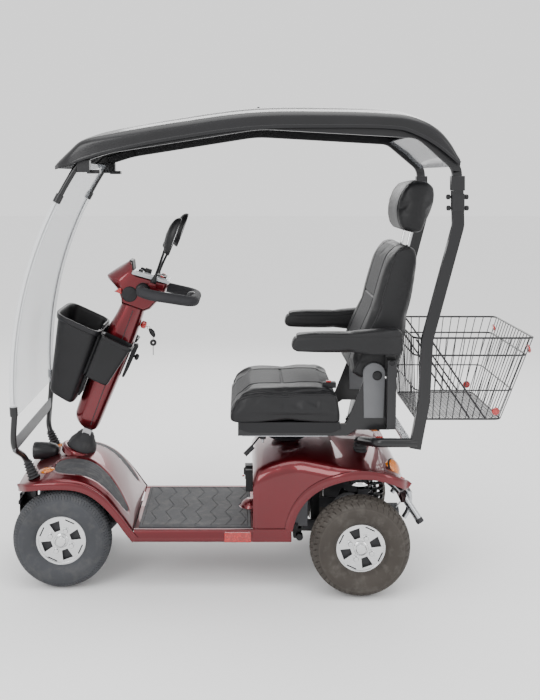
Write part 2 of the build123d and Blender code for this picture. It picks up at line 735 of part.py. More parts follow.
screen_half = mast_half_track - screen_tube_r - 1
screen_top = (r(-897), up(1247) + canopy_rise)
screen_mid = (r(-1066), up(890) + canopy_rise / 2)
screen_foot = (r(-1118), up(428))
with BuildPart() as screens:
    with BuildSketch(Plane.XZ.offset(-screen_half)):
        with BuildLine():
            ThreePointArc(screen_top, screen_mid, screen_foot)
        trace(line_width=screen_thickness)
    extrude(amount=2 * screen_half)
    # panel behind the rider, between the canopy rails
    route = [(166, 1334), (222, 1292), (284, 1236)]
    add(flat_tube([(r(x), up(z) + canopy_rise) for x, z in route], 60, 3, -mast_low, mast_low))
save(screens, "clear_screens")

with BuildPart() as screen_frame:
    for side in (-1, 1):
        y = side * mast_half_track
        with BuildLine() as edge:
            top, mid, foot = [(x, y, z) for x, z in (screen_top, screen_mid, screen_foot)]
            ThreePointArc(top, mid, foot)
        with BuildSketch(Plane(origin=edge.line @ 0, z_dir=edge.line % 0)):
            Circle(screen_tube_r)
        sweep(path=edge.line)
        leg = [(-1118, 300, 428), (-1126, 298, 330), (-1112, 188, 272), (-1081.5, 188, 194)]
        add(bent_rod([(r(x), side * y, up(z)) for x, y, z in leg], 30, 10))
    add(block((r(-1126), -294, up(318)), (r(-1120), 294, up(356))))
save(screen_frame, "windscreen_frame")

with BuildPart() as boots:
    # concertina sleeves at the feet of the windscreen legs and the canopy posts, seat post skirt
    for side in (-1, 1):
        add(ring((r(-1083), side * leg_y, up(199)), (-0.364, 0, 0.931), 30, 18, 11))
        add(ring((r(post_x), side * post_y, up(262)), (0, 0, 1), 28, post_boot_r - 1, 16))
    add(ring((r(seat_post_x), 0, up(297)), (0, 0, 1), 30, 60, seat_post_r + 1, top=40))
    # ball boot round the steering column
    with BuildSketch(tiller_side) as section:
        with BuildLine():
            Line((head_tube_r + 4, -62), (boot_base_r - gap, -62))
            ThreePointArc((boot_base_r - gap, -62), (boot_base_r - 6, -36), (head_tube_r + 9, -22))
            Polyline((head_tube_r + 9, -22), (head_tube_r + 4, -22), (head_tube_r + 4, -62))
        make_face()
    revolve(axis=Axis(origin=tiller_origin, direction=tiller_axis))
save(boots, "rubber_boots")

with BuildPart() as knobs:
    for side in (-1, 1):
        for dz in (1105, 1140):
            for out in (-1, 1):
                lean_x = 295 - (dz - 1051) * 5 / 109
                start = (r(lean_x) + out * (mast_depth / 2 + 0.6), side * mast_half_track, up(dz))
                add(rod(start, (start[0] + out * 16, start[1], start[2]), 6))
save(knobs, "clamp_knobs")

with BuildPart() as brace:
    brace_half = mast_half_track - 15
    add(block((r(136), -brace_half, tube_z - 7), (r(160), brace_half, tube_z + 7)))
save(brace, "cross_brace")

# ---------------------------------------------------------------- rear basket
basket_top_z = up(680)
basket_floor_z = up(400)
basket_front_top = r(174)
basket_front_floor = r(192)


def basket_loft(shrink, drop):
    """The basket's tapered block, smaller by a wall all round and cut through above."""
    with BuildPart() as made:
        for z, front, back_end, half in (
            (basket_floor_z + drop, basket_front_floor, r(474), rear_basket_half_width - 37),
            (basket_top_z + (1 if shrink else 0), basket_front_top, r(rear_overhang), rear_basket_half_width),
        ):
            with BuildSketch(Plane.XY.offset(z)):
                with Locations(((front + back_end) / 2, 0)):
                    Rectangle(back_end - front - 2 * shrink, 2 * half - 2 * shrink)
        loft()
    return made.part


bar = 5.0
columns = 9
half_rows = 6
column_pitch = (r(446) - r(222)) / columns
row_pitch = 30.0
cell_height = 124.0
column_x = [r(222) + (n + 0.5) * column_pitch for n in range(columns)]
row_y = [(n + 0.5) * row_pitch for n in range(-half_rows, half_rows)]
cell_z = [basket_floor_z + 12 + cell_height / 2 + n * (cell_height + 10) for n in range(2)]
with BuildPart() as basket:
    add(basket_loft(0, 0))
    add(basket_loft(rear_basket_wall, rear_basket_wall), mode=Mode.SUBTRACT)
    with Locations(*[(x, 0, z) for x in column_x for z in cell_z]):
        Box(column_pitch - bar, 600, cell_height, mode=Mode.SUBTRACT)
    with Locations(*[(r(370), y, z) for y in row_y for z in cell_z]):
        Box(460, row_pitch - bar, cell_height, mode=Mode.SUBTRACT)
    with Locations(*[(x, y, basket_floor_z) for x in column_x for y in row_y]):
        Box(column_pitch - bar, row_pitch - bar, 16, mode=Mode.SUBTRACT)
save(basket, "rear_basket")

# ---------------------------------------------------------------- tiller
stem_r = 16.0
with BuildPart() as cover:
    for z, front, rear, half in ((26, -34, 30, 34), (60, -60, 33, 50), (365, -56, 50, 52), (480, -36, 47, 48)):
        with BuildSketch(tiller_plane.offset(z)):
            with Locations(((front + rear) / 2, 0)):
                RectangleRounded(rear - front, 2 * half, 22)
    loft(ruled=True)
    add(rod(on_tiller(0, 0, 20), on_tiller(0, 0, 500), stem_r), mode=Mode.SUBTRACT)
    add(rod(on_tiller(30, 0, 428), on_tiller(80, 0, 428), 6 + running_gap), mode=Mode.SUBTRACT)
save(cover, "tiller_cover")

head_half = 60.0
loop_x = 20.0
loop_z = 551.0
nose = [(-36, 480), (-40, 492), (-114, 540), (-117, 552), (-55, 630), (-36, 590)]
nose += [(92, 600), (96, 571), (66, 493), (47, 480)]
with BuildPart() as tiller_head:
    add(side_plate(nose, -head_half, head_half, side=tiller_side))
    for side in (-1, 1):
        add(rod(on_tiller(-18, side * head_half, 522), on_tiller(-18, side * (head_half + 6), 522), 26))
        low, high = sorted((side * head_half, side * 84))
        add(side_plate([(33, 576), (57, 576), (57, 586), (33, 586)], low, high, side=tiller_side))
        add(rod(on_tiller(45, side * 72, 560), on_tiller(45, side * 72, 600), 4 + running_gap), mode=Mode.SUBTRACT)
    add(rod(on_tiller(loop_x, -100, loop_z), on_tiller(loop_x, 100, loop_z), loop_r), mode=Mode.SUBTRACT)
    add(rod(on_tiller(0, 0, 470), on_tiller(0, 0, 560), stem_r), mode=Mode.SUBTRACT)
save(tiller_head, "tiller_head")

with BuildPart() as console:
    deck = [(-36, 590), (94, 600.2), (96, 610), (-34, 602)]
    add(side_plate(deck, -head_half, head_half, side=tiller_side))
    add(rod(on_tiller(12, 0, 600), on_tiller(12, 0, 620), 3))
save(console, "control_console")

with BuildPart() as dial:
    add(rod(on_tiller(12, 0, 606.5), on_tiller(12, 0, 621), 14))
    add(rod(on_tiller(12, 0, 600), on_tiller(12, 0, 630), 3 + running_gap), mode=Mode.SUBTRACT)
save(dial, "speed_dial")

with BuildPart() as bars:
    route = [(loop_x, head_half - 20, loop_z), (loop_x, 160, loop_z), (198, 112, loop_z + 28)]
    route += [(x, -y, z) for x, y, z in reversed(route)]
    add(bent_rod([on_tiller(*point) for point in route], 52, loop_r))
    add(rod(on_tiller(loop_x, -head_half, loop_z), on_tiller(loop_x, head_half, loop_z), loop_r))
    add(rod(on_tiller(0, 0, 34), on_tiller(0, 0, loop_z), stem_r))
    add(rod(on_tiller(0, 0, 0), on_tiller(0, 0, 34), 11.5))
    add(rod(on_tiller(0, -12.5, 0), on_tiller(0, 12.5, 0), 14))
    add(rod(on_tiller(0, -20, 0), on_tiller(0, 20, 0), 6 + running_gap), mode=Mode.SUBTRACT)
save(bars, "handlebar")

saddle = [(-225, 402), (-160, 392), (-30, 374), (58, 370), (44, 300), (-50, 104), (-84, 101), (-167, 130)]
cavity = [(-220, 420), (-160, 412), (-30, 394), (53, 390), (39, 300), (-50, 110), (-82, 106), (-162, 133)]
channel = 58.0
with BuildPart() as front_basket:
    add(side_plate(saddle, -basket_half_width, basket_half_width, side=tiller_side))
    inside = basket_half_width - basket_wall
    hollow = side_plate(cavity, -inside, inside, side=tiller_side)
    collar = [(-62 - basket_wall, 90), (-62 - basket_wall, 430), (90, 430), (90, 90)]
    add(hollow - side_plate(collar, -channel, channel, side=tiller_side), mode=Mode.SUBTRACT)
    slot = [(-62, 90), (-62, 430), (90, 430), (90, 90)]
    add(side_plate(slot, basket_wall - channel, channel - basket_wall, side=tiller_side), mode=Mode.SUBTRACT)
save(front_basket, "front_basket")

for side_name, side in (("left", -1), ("right", 1)):
    with BuildPart() as mirror:
        add(rod(on_tiller(45, side * 72, 578), on_tiller(45, side * 72, 586.5), 4))
        add(rod(on_tiller(45, side * 72, 586.5), on_tiller(45, side * 72, 604), 9))
        stem = [(45, 72, 600), (46, 76, 640), (52, 185, 745)]
        add(bent_rod([on_tiller(x, side * y, z) for x, y, z in stem], 20, 4))
        with BuildSketch(Plane(origin=on_tiller(48, side * 200, 772), x_dir=(0, 1, 0), z_dir=tiller_back)):
            Ellipse(44, 66)
        extrude(amount=22)
    save(mirror, f"{side_name}_mirror")

with BuildPart() as throttle:
    add(rod(on_tiller(78, -69, 552), on_tiller(78, -69, 570), 6))
    add(side_plate([(73, 556), (83, 556), (83, 566), (73, 566)], -122, -69, side=tiller_side))
save(throttle, "throttle_lever")

with BuildPart() as brake:
    add(rod(on_tiller(78, 69, 552), on_tiller(78, 69, 570), 6))
    add(side_plate([(73, 556), (83, 556), (83, 566), (73, 566)], 69, 112, side=tiller_side))
    with Locations(on_tiller(78, 114, 561)):
        Sphere(7)
save(brake, "brake_lever")

with BuildPart() as key:
    add(rod(on_tiller(44, 0, 428), on_tiller(53, 0, 428), 6))
    add(rod(on_tiller(53, 0, 428), on_tiller(70, 0, 428), 11))
    add(rod(on_tiller(70, 0, 426), on_tiller(75.5, 0, 426), 2))
save(key, "ignition_key")

with BuildPart() as fob:
    add(rod(on_tiller(80, -3, 424), on_tiller(80, 3, 424), 4))
    add(side_plate([(79, 416), (84, 424), (108, 408), (104, 400)], -2, 2, side=tiller_side))
    x, y, z = on_tiller(104, 0, 404)
    add(block((x - 2, -1.5, z - 70), (x + 2, 1.5, z)))
    add(rod((x, -1.5, z - 24), (x, 1.5, z - 24), 12))
save(fob, "spare_key")

with BuildPart() as tilt:
    add(side_plate([(53, 352), (66, 352), (58, 232), (50, 232)], -12, 12, side=tiller_side))
    add(rod(on_tiller(60, -14, 352), on_tiller(60, 14, 352), 6.5))
    with Locations(on_tiller(72, 0, 300)):
        Sphere(12)
save(tilt, "tilt_lever")
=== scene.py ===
import json
from math import atan2, cos, pi, radians, sin, sqrt

import bmesh
import bpy
from bpy.props import FloatProperty, FloatVectorProperty, IntProperty, PointerProperty
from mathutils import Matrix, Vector
from mathutils.bvhtree import BVHTree


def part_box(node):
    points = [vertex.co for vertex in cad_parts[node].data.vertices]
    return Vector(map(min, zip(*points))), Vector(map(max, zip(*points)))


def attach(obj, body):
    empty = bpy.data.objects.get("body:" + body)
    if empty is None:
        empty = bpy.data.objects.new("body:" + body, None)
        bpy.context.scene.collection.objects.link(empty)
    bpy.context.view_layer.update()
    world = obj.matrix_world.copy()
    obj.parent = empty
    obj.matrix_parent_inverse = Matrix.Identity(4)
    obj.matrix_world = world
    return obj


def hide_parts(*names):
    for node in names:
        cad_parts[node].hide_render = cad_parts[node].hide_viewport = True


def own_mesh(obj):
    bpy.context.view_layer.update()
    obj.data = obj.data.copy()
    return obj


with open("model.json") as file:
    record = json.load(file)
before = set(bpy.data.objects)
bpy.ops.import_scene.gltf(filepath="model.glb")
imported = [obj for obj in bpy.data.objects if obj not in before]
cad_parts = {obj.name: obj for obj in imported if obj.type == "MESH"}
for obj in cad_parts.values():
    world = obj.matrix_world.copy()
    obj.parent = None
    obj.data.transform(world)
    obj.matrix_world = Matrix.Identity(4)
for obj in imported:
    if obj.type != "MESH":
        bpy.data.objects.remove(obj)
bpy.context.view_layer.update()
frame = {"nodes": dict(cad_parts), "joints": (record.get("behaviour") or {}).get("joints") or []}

bl_info = {
    "name": "Mobility Scooter",
    "version": (1, 0, 0),
    "blender": (4, 5, 0),
    "location": "View3D > Sidebar > Scooter",
    "description": "Detailed pieces and finishes of a canopied mobility scooter round its CAD frame",
    "category": "Object",
}

# ---------------------------------------------------------------- places, from the frame
# Shapes are drawn in millimetres from one of three marks: the front axle, the rear axle or the tiller's
# tilt pivot. Each mark turns them into points of the frame, which are in metres.
JOINTS = {joint["name"]: joint for joint in frame["joints"]}
FRONT_AXLE = sum(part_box("front_left_tyre"), Vector()) / 2
REAR_AXLE = sum(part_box("rear_left_tyre"), Vector()) / 2
FRONT_WHEEL_Y = abs(FRONT_AXLE.y) * 1000
REAR_WHEEL_Y = abs(REAR_AXLE.y) * 1000
TILLER_FOOT = Vector(JOINTS["tiller_tilt"]["pos_m"])
TILLER_UP = Vector(JOINTS["steering"]["axis"])
TILLER_BACK = Vector((TILLER_UP.z, 0, -TILLER_UP.x))
SIDES = (("left", -1), ("right", 1))


def front(x, y, z):
    """A point given from the middle of the front axle."""
    return Vector((FRONT_AXLE.x + x / 1000, y / 1000, FRONT_AXLE.z + z / 1000))


def rear(x, y, z):
    """A point given from the middle of the rear axle."""
    return Vector((REAR_AXLE.x + x / 1000, y / 1000, REAR_AXLE.z + z / 1000))


def tiller(x, y, z):
    """A point given back across, to the right of and up along the tiller."""
    return TILLER_FOOT + TILLER_BACK * (x / 1000) + Vector((0, y / 1000, 0)) + TILLER_UP * (z / 1000)


# ---------------------------------------------------------------- sizes and colours a user may change
def colour(name, description, default):
    return FloatVectorProperty(name=name, description=description, default=default, subtype="COLOR", size=3,
                               min=0.0, max=1.0)


def length(name, description, default, low, high):
    return FloatProperty(name=name, description=description, default=default, min=low, max=high,
                         subtype="DISTANCE", unit="LENGTH")


class ScooterColours(bpy.types.PropertyGroup):
    """Colours of the finishes."""
    paint: colour("Body paint", "Metallic lacquer of the cowl, floor, rear body and tiller",
                  (0.105, 0.002, 0.006))
    leather: colour("Upholstery", "Seat, backrest, headrest and armrests", (0.010, 0.010, 0.011))
    plastic: colour("Black plastic", "Canopy, baskets and small mouldings", (0.007, 0.007, 0.008))
    powder: colour("Powder coat", "Masts, rails and seat frame", (0.006, 0.006, 0.007))
    front_tyre: colour("Front tyres", "Rubber of the steered wheels", (0.042, 0.044, 0.049))
    rear_tyre: colour("Rear tyres", "Rubber of the driven wheels", (0.040, 0.034, 0.029))
    amber: colour("Indicators", "Lenses of the turn signals", (0.90, 0.24, 0.01))


class ScooterSizes(bpy.types.PropertyGroup):
    """Sizes of details that the frame doesn't hold."""
    tread_depth: length("Tread depth", "Depth of the grooves in the tyres", 0.0042, 0.0, 0.008)
    wire: length("Basket wire", "Radius of the thin basket wires", 0.0016, 0.001, 0.003)
    spring_wire: length("Spring wire", "Radius of the rear spring wire", 0.0042, 0.002, 0.006)
    seam_depth: length("Seam depth", "Depth of the sewn channels in the upholstery", 0.005, 0.0, 0.01)
    pad_rise: length("Pad rise", "Furthest the upholstery may swell", 0.010, 0.0, 0.02)
    swell_frames: IntProperty(name="Swell steps", description="Cloth steps that fill the pads", default=20,
                              min=1, max=40)


# ---------------------------------------------------------------- finishes
class Wire:
    """A value in a node tree. Arithmetic on it adds Math nodes."""

    def __init__(self, tree, socket):
        self.tree = tree
        self.socket = socket

    def math(self, operation, first, second=0.0, third=0.0):
        node = self.tree.nodes.new("ShaderNodeMath")
        node.operation = operation
        for place, value in zip(node.inputs, (first, second, third)):
            plug(self.tree, place, value)
        return Wire(self.tree, node.outputs[0])

    def __add__(self, other):
        return self.math("ADD", self, other)

    __radd__ = __add__

    def __sub__(self, other):
        return self.math("SUBTRACT", self, other)

    def __rsub__(self, other):
        return self.math("SUBTRACT", other, self)

    def __mul__(self, other):
        return self.math("MULTIPLY", self, other)

    __rmul__ = __mul__


def plug(tree, place, value):
    """Link a wire to a socket, or set the socket's own value."""
    if isinstance(value, Wire):
        tree.links.new(value.socket, place)
    elif isinstance(value, (tuple, list)) and place.type == "RGBA" and len(value) == 3:
        place.default_value = (*value, 1.0)
    else:
        place.default_value = value


class Finish:
    """A surface finish on one Principled shader."""

    def __init__(self, name, **constants):
        self.material = bpy.data.materials.new(name)
        self.material.use_nodes = True
        self.tree = self.material.node_tree
        self.shader = self.tree.nodes["Principled BSDF"]
        for socket, value in constants.items():
            plug(self.tree, self.shader.inputs[socket.replace("_", " ")], value)

    def node(self, kind, settings=None, sockets=None, output=0, stops=None):
        """Add a node: its settings first, a ramp's stops, then its sockets' values or links."""
        made = self.tree.nodes.new(kind)
        for setting, value in (settings or {}).items():
            setattr(made, setting, value)
        if stops:
            ramp = made.color_ramp
            ramp.elements[0].position, ramp.elements[1].position = stops[0][0], stops[-1][0]
            for position, _ in stops[1:-1]:
                ramp.elements.new(position)
            for element, (_, tint) in zip(ramp.elements, stops):
                element.color = (*tint, 1.0)
        for socket, value in (sockets or {}).items():
            plug(self.tree, made.inputs[socket], value)
        return Wire(self.tree, made.outputs[output])

    def place(self):
        return self.node("ShaderNodeTexCoord", output="Object")

    def noise(self, scale, detail=3.0, roughness=0.55, stretch=None):
        where = self.place()
        if stretch:
            where = self.node("ShaderNodeVectorMath", {"operation": "MULTIPLY"}, {0: where, 1: stretch})
        return self.node("ShaderNodeTexNoise", {}, {"Vector": where, "Scale": scale, "Detail": detail,
                                                    "Roughness": roughness})

    def cells(self, scale, feature="F1"):
        return self.node("ShaderNodeTexVoronoi", {"feature": feature},
                         {"Vector": self.place(), "Scale": scale})

    def between(self, low, high, mask):
        """A colour between two, by a mask from 0 to 1."""
        return self.node("ShaderNodeMix", {"data_type": "RGBA"}, {0: mask, 6: low, 7: high}, output=2)

    def band(self, wire, low, high):
        """A mask that rises from 0 to 1 between two values of a wire."""
        return self.node("ShaderNodeMapRange", {"clamp": True},
                         {"Value": wire, "From Min": low, "From Max": high})

    def edges(self, low=0.515, high=0.6):
        """A mask of the outer edges, where a finish wears."""
        return self.band(self.node("ShaderNodeNewGeometry", output="Pointiness"), low, high)

    def set(self, **wires):
        for socket, value in wires.items():
            plug(self.tree, self.shader.inputs[socket.replace("_", " ")], value)
        return self

    def bump(self, height, strength, distance=0.001):
        return self.set(Normal=self.node("ShaderNodeBump", {}, {"Height": height, "Strength": strength,
                                                               "Distance": distance}))


def tinted(base, factor):
    return tuple(min(1.0, channel * factor) for channel in base)


def moulded(name, base, roughness, grain=900.0, strength=0.15, spread=0.06, wear=1.5, dust=0.0, **constants):
    """A plastic, rubber or coated finish: fine grain, patchy gloss, paler worn edges and settled dust."""
    finish = Finish(name, **{"Specular_IOR_Level": 0.3, **constants})
    patches = finish.noise(7.0, 4.0)
    shade = finish.between(tinted(base, 0.85), tinted(base, 1.2), finish.band(patches, 0.3, 0.7))
    shade = finish.between(shade, tinted(base, wear + 1.0), finish.edges() * 0.5)
    if dust:
        settled = finish.band(finish.noise(38.0, 5.0), 0.48, 0.8) * dust
        shade = finish.between(shade, (0.20, 0.19, 0.17), settled)
    gloss = finish.noise(24.0, 3.0) * spread + (roughness - spread / 2)
    finish.set(Base_Color=shade, Roughness=gloss)
    return finish.bump(finish.noise(grain, 2.0), strength)


def make_finishes(colours):
    """Every finish of the scooter, by name."""
    made = {}
    paint = tuple(colours.paint)
    red = Finish("metallic_lacquer", Metallic=0.80, Coat_Weight=0.8, Coat_Roughness=0.03, Coat_IOR=1.5)
    flakes = red.band(red.cells(1900.0), 0.1, 0.55)
    depth = red.band(red.noise(3.0, 2.0), 0.3, 0.7)
    shade = red.between(tinted(paint, 0.82), tinted(paint, 1.12), depth)
    red.set(Base_Color=red.between(tinted(paint, 1.45), shade, flakes),
            Roughness=red.noise(14.0) * 0.08 + 0.27)
    red.bump(red.noise(130.0, 1.0), 0.035)
    made["paint"] = red

    hide = tuple(colours.leather)
    leather = Finish("seat_leather", Specular_IOR_Level=0.28, Coat_Weight=0.06, Coat_Roughness=0.35)
    creases = leather.cells(430.0, "DISTANCE_TO_EDGE")
    grain = leather.band(creases, 0.0, 0.16)
    rub = leather.band(leather.noise(5.0, 5.0, 0.6), 0.42, 0.75)
    shade = leather.between(tinted(hide, 0.72), tinted(hide, 1.1), grain)
    leather.set(Base_Color=leather.between(shade, tinted(hide, 1.6), rub * 0.5),
                Roughness=0.46 - rub * 0.10 + leather.noise(60.0) * 0.06)
    leather.bump(grain * 0.6 + leather.noise(900.0, 2.0) * 0.4, 0.30, 0.0006)
    made["leather"] = leather
    insert = Finish("ribbed_leather", Specular_IOR_Level=0.25)
    rub = insert.band(insert.noise(9.0, 5.0, 0.6), 0.4, 0.75)
    insert.set(Base_Color=insert.between(tinted(hide, 1.7), tinted(hide, 2.5), rub),
               Roughness=insert.noise(80.0) * 0.08 + 0.50)
    insert.bump(insert.cells(520.0), 0.35, 0.0006)
    made["insert"] = insert

    plastic = tuple(colours.plastic)
    powder = tuple(colours.powder)
    made["canopy"] = moulded("canopy_shell", plastic, 0.30, 420.0, 0.30, 0.10, Coat_Weight=0.25,
                             Coat_Roughness=0.16)
    made["plastic"] = moulded("black_moulding", plastic, 0.42, 900.0, 0.20, 0.08)
    made["satin"] = moulded("satin_moulding", tinted(plastic, 1.5), 0.33, 1200.0, 0.08, 0.06)
    made["powder"] = moulded("powder_coat", powder, 0.30, 1500.0, 0.16, 0.08, Coat_Weight=0.35,
                             Coat_Roughness=0.14)
    made["rubber"] = moulded("black_rubber", (0.022, 0.022, 0.024), 0.60, 1100.0, 0.25, 0.10, dust=0.10)
    made["mat"] = moulded("foot_mat", (0.045, 0.046, 0.050), 0.62, 700.0, 0.45, 0.12, wear=1.0, dust=0.30)
    made["foam"] = moulded("foam_grip", (0.024, 0.024, 0.027), 0.72, 1600.0, 0.50, 0.08)
    made["front_tyre"] = moulded("front_tyre_rubber", tuple(colours.front_tyre), 0.66, 900.0, 0.28, 0.12,
                                 dust=0.16)
    made["rear_tyre"] = moulded("rear_tyre_rubber", tuple(colours.rear_tyre), 0.66, 900.0, 0.28, 0.12,
                                dust=0.22)
    made["grey"] = moulded("grey_cover", (0.095, 0.097, 0.102), 0.45, 1000.0, 0.18, 0.08)
    made["battery"] = moulded("battery_case", (0.06, 0.06, 0.065), 0.50, 800.0, 0.20, 0.08)
    made["dark_metal"] = moulded("cast_metal", (0.050, 0.050, 0.054), 0.48, 350.0, 0.45, 0.12, Metallic=0.6)

    for name, label, tone, roughness, grain, strength in (
        ("silver", "silver_tube", (0.50, 0.51, 0.53), 0.27, 700.0, 0.05),
        ("alloy", "wheel_alloy", (0.66, 0.665, 0.67), 0.20, 320.0, 0.06),
        ("chrome", "polished_chrome", (0.78, 0.79, 0.80), 0.07, 200.0, 0.015),
        ("steel", "machined_steel", (0.42, 0.42, 0.43), 0.34, 900.0, 0.10),
    ):
        metal = Finish(label, Metallic=1.0)
        streaks = metal.noise(60.0, 4.0, 0.6, (1.0, 1.0, 9.0))
        metal.set(Base_Color=metal.between(tinted(tone, 0.86), tinted(tone, 1.08),
                                           metal.band(streaks, 0.3, 0.7)),
                  Roughness=streaks * 0.10 + (roughness - 0.05))
        made[name] = metal.bump(metal.noise(grain, 2.0), strength)

    console = Finish("console_silver", Metallic=0.5, Coat_Weight=0.5, Coat_Roughness=0.08)
    console.set(Base_Color=console.between((0.36, 0.37, 0.39), (0.46, 0.47, 0.49),
                                           console.band(console.noise(9.0), 0.3, 0.7)),
                Roughness=console.noise(30.0) * 0.1 + 0.25)
    made["console"] = console.bump(console.noise(500.0), 0.05)

    for name, label, tone, deep in (
        ("amber", "amber_lens", tuple(colours.amber), 0.55),
        ("red_lens", "red_lens", (0.62, 0.010, 0.008), 0.45),
    ):
        lens = Finish(label, Coat_Weight=1.0, Coat_Roughness=0.03, Transmission_Weight=0.15, IOR=1.5)
        facets = lens.cells(170.0)
        lens.set(Base_Color=lens.between(tone, tinted(tone, deep), lens.band(facets, 0.1, 0.6)),
                 Roughness=lens.band(facets, 0.0, 0.8) * 0.12 + 0.08, Emission_Color=tinted(tone, 0.5))
        # painted glow: the lenses give off a faint light in their own tint though no lamp is lit, and the
        # reflectors, key knob, buttons and buckle that take the red finish are no lamps at all
        lens.shader.inputs["Emission Strength"].default_value = 0.12
        made[name] = lens.bump(facets, 0.5, 0.002)

    clear = Finish("clear_lens", Coat_Weight=1.0, Coat_Roughness=0.02, IOR=1.5)
    flutes = clear.node("ShaderNodeTexWave", {"bands_direction": "Y"},
                        {"Vector": clear.place(), "Scale": 55.0})
    facing = clear.node("ShaderNodeLayerWeight", {}, {"Blend": 0.35}, output="Facing")
    clear.set(Base_Color=clear.between((0.70, 0.74, 0.78), (0.90, 0.93, 0.95), flutes),
              Roughness=flutes * 0.08 + 0.05, Alpha=facing * 0.4 + 0.45)
    made["clear_lens"] = clear.bump(flutes, 0.35, 0.002)

    sheet = Finish("clear_sheet", IOR=1.45, Coat_Weight=0.4, Coat_Roughness=0.05)
    facing = sheet.node("ShaderNodeLayerWeight", {}, {"Blend": 0.30}, output="Facing")
    haze = sheet.band(sheet.noise(4.0, 5.0), 0.35, 0.8)
    sheet.set(Base_Color=sheet.between((0.62, 0.66, 0.70), (0.72, 0.75, 0.78), haze),
              Roughness=haze * 0.10 + 0.06, Alpha=facing * 0.45 + haze * 0.03 + 0.10)
    made["sheet"] = sheet
    edge = Finish("clear_edge", IOR=1.45, Coat_Weight=0.6, Coat_Roughness=0.05)
    facing = edge.node("ShaderNodeLayerWeight", {}, {"Blend": 0.5}, output="Facing")
    # painted highlight: the base colour turns whiter where the tube is seen edge-on and grey where it is seen
    # face-on
    edge.set(Base_Color=edge.between((0.86, 0.88, 0.90), (0.42, 0.45, 0.48), edge.band(facing, 0.55, 0.95)),
             Roughness=edge.noise(20.0) * 0.05 + 0.06, Alpha=facing * 0.6 + 0.35)
    made["edge"] = edge
    smoke = Finish("smoked_sheet", IOR=1.45, Coat_Weight=0.4, Coat_Roughness=0.05)
    haze = smoke.band(smoke.noise(4.0, 5.0), 0.35, 0.8)
    smoke.set(Base_Color=smoke.between((0.20, 0.21, 0.23), (0.26, 0.27, 0.29), haze),
              Roughness=haze * 0.10 + 0.10, Alpha=haze * 0.08 + 0.55)
    made["smoke"] = smoke

    mirror = Finish("mirror_glass", Metallic=1.0)
    mirror.set(Base_Color=mirror.between((0.80, 0.83, 0.86), (0.88, 0.90, 0.92), mirror.noise(6.0)),
               Roughness=mirror.noise(9.0) * 0.03 + 0.01)
    made["mirror"] = mirror
    return made


# ---------------------------------------------------------------- shaping
def turned(axis):
    """Two directions square to an axis."""
    axis = Vector(axis).normalized()
    across = axis.cross(Vector((0, 1, 0)))
    if across.length < 0.2:
        across = axis.cross(Vector((1, 0, 0)))
    across.normalize()
    return across, axis.cross(across)


def circle(centre, axis, radius, sides=32):
    across, other = turned(axis)
    return [centre + across * (radius * cos(2 * pi * n / sides)) + other * (radius * sin(2 * pi * n / sides))
            for n in range(sides)]


def rounded(points, bend, steps=8):
    """A route with its inner corners turned into smooth bends; bend is in millimetres."""
    points = [Vector(point) for point in points]
    route = [points[0]]
    for before, corner, after in zip(points, points[1:], points[2:]):
        reach = min(bend / 1000, (corner - before).length / 2, (after - corner).length / 2)
        start = corner + (before - corner).normalized() * reach
        end = corner + (after - corner).normalized() * reach
        for n in range(steps + 1):
            t = n / steps
            route.append(start * (1 - t) ** 2 + corner * (2 * t * (1 - t)) + end * t * t)
    route.append(points[-1])
    return route


def follow(rows, x):
    """Values of a table at x, on a smooth line through its rows; each row starts with its x."""
    if x <= rows[0][0]:
        return rows[0][1:]
    for n in range(len(rows) - 1):
        if x <= rows[n + 1][0]:
            break
    else:
        return rows[-1][1:]
    low, high = rows[n], rows[n + 1]
    before, after = rows[max(0, n - 1)], rows[min(len(rows) - 1, n + 2)]
    step = high[0] - low[0]
    t = (x - low[0]) / step
    values = []
    for k in range(1, len(low)):
        slope = (high[k] - low[k]) / step
        enter = (high[k] - before[k]) / (high[0] - before[0]) if n else slope
        leave = (after[k] - low[k]) / (after[0] - low[0]) if n + 2 < len(rows) else slope
        values.append((2 * t ** 3 - 3 * t ** 2 + 1) * low[k] + (t ** 3 - 2 * t ** 2 + t) * step * enter
                      + (3 * t ** 2 - 2 * t ** 3) * high[k] + (t ** 3 - t ** 2) * step * leave)
    return values


def spread(low, high, count):
    return [low + (high - low) * n / (count - 1) for n in range(count)]


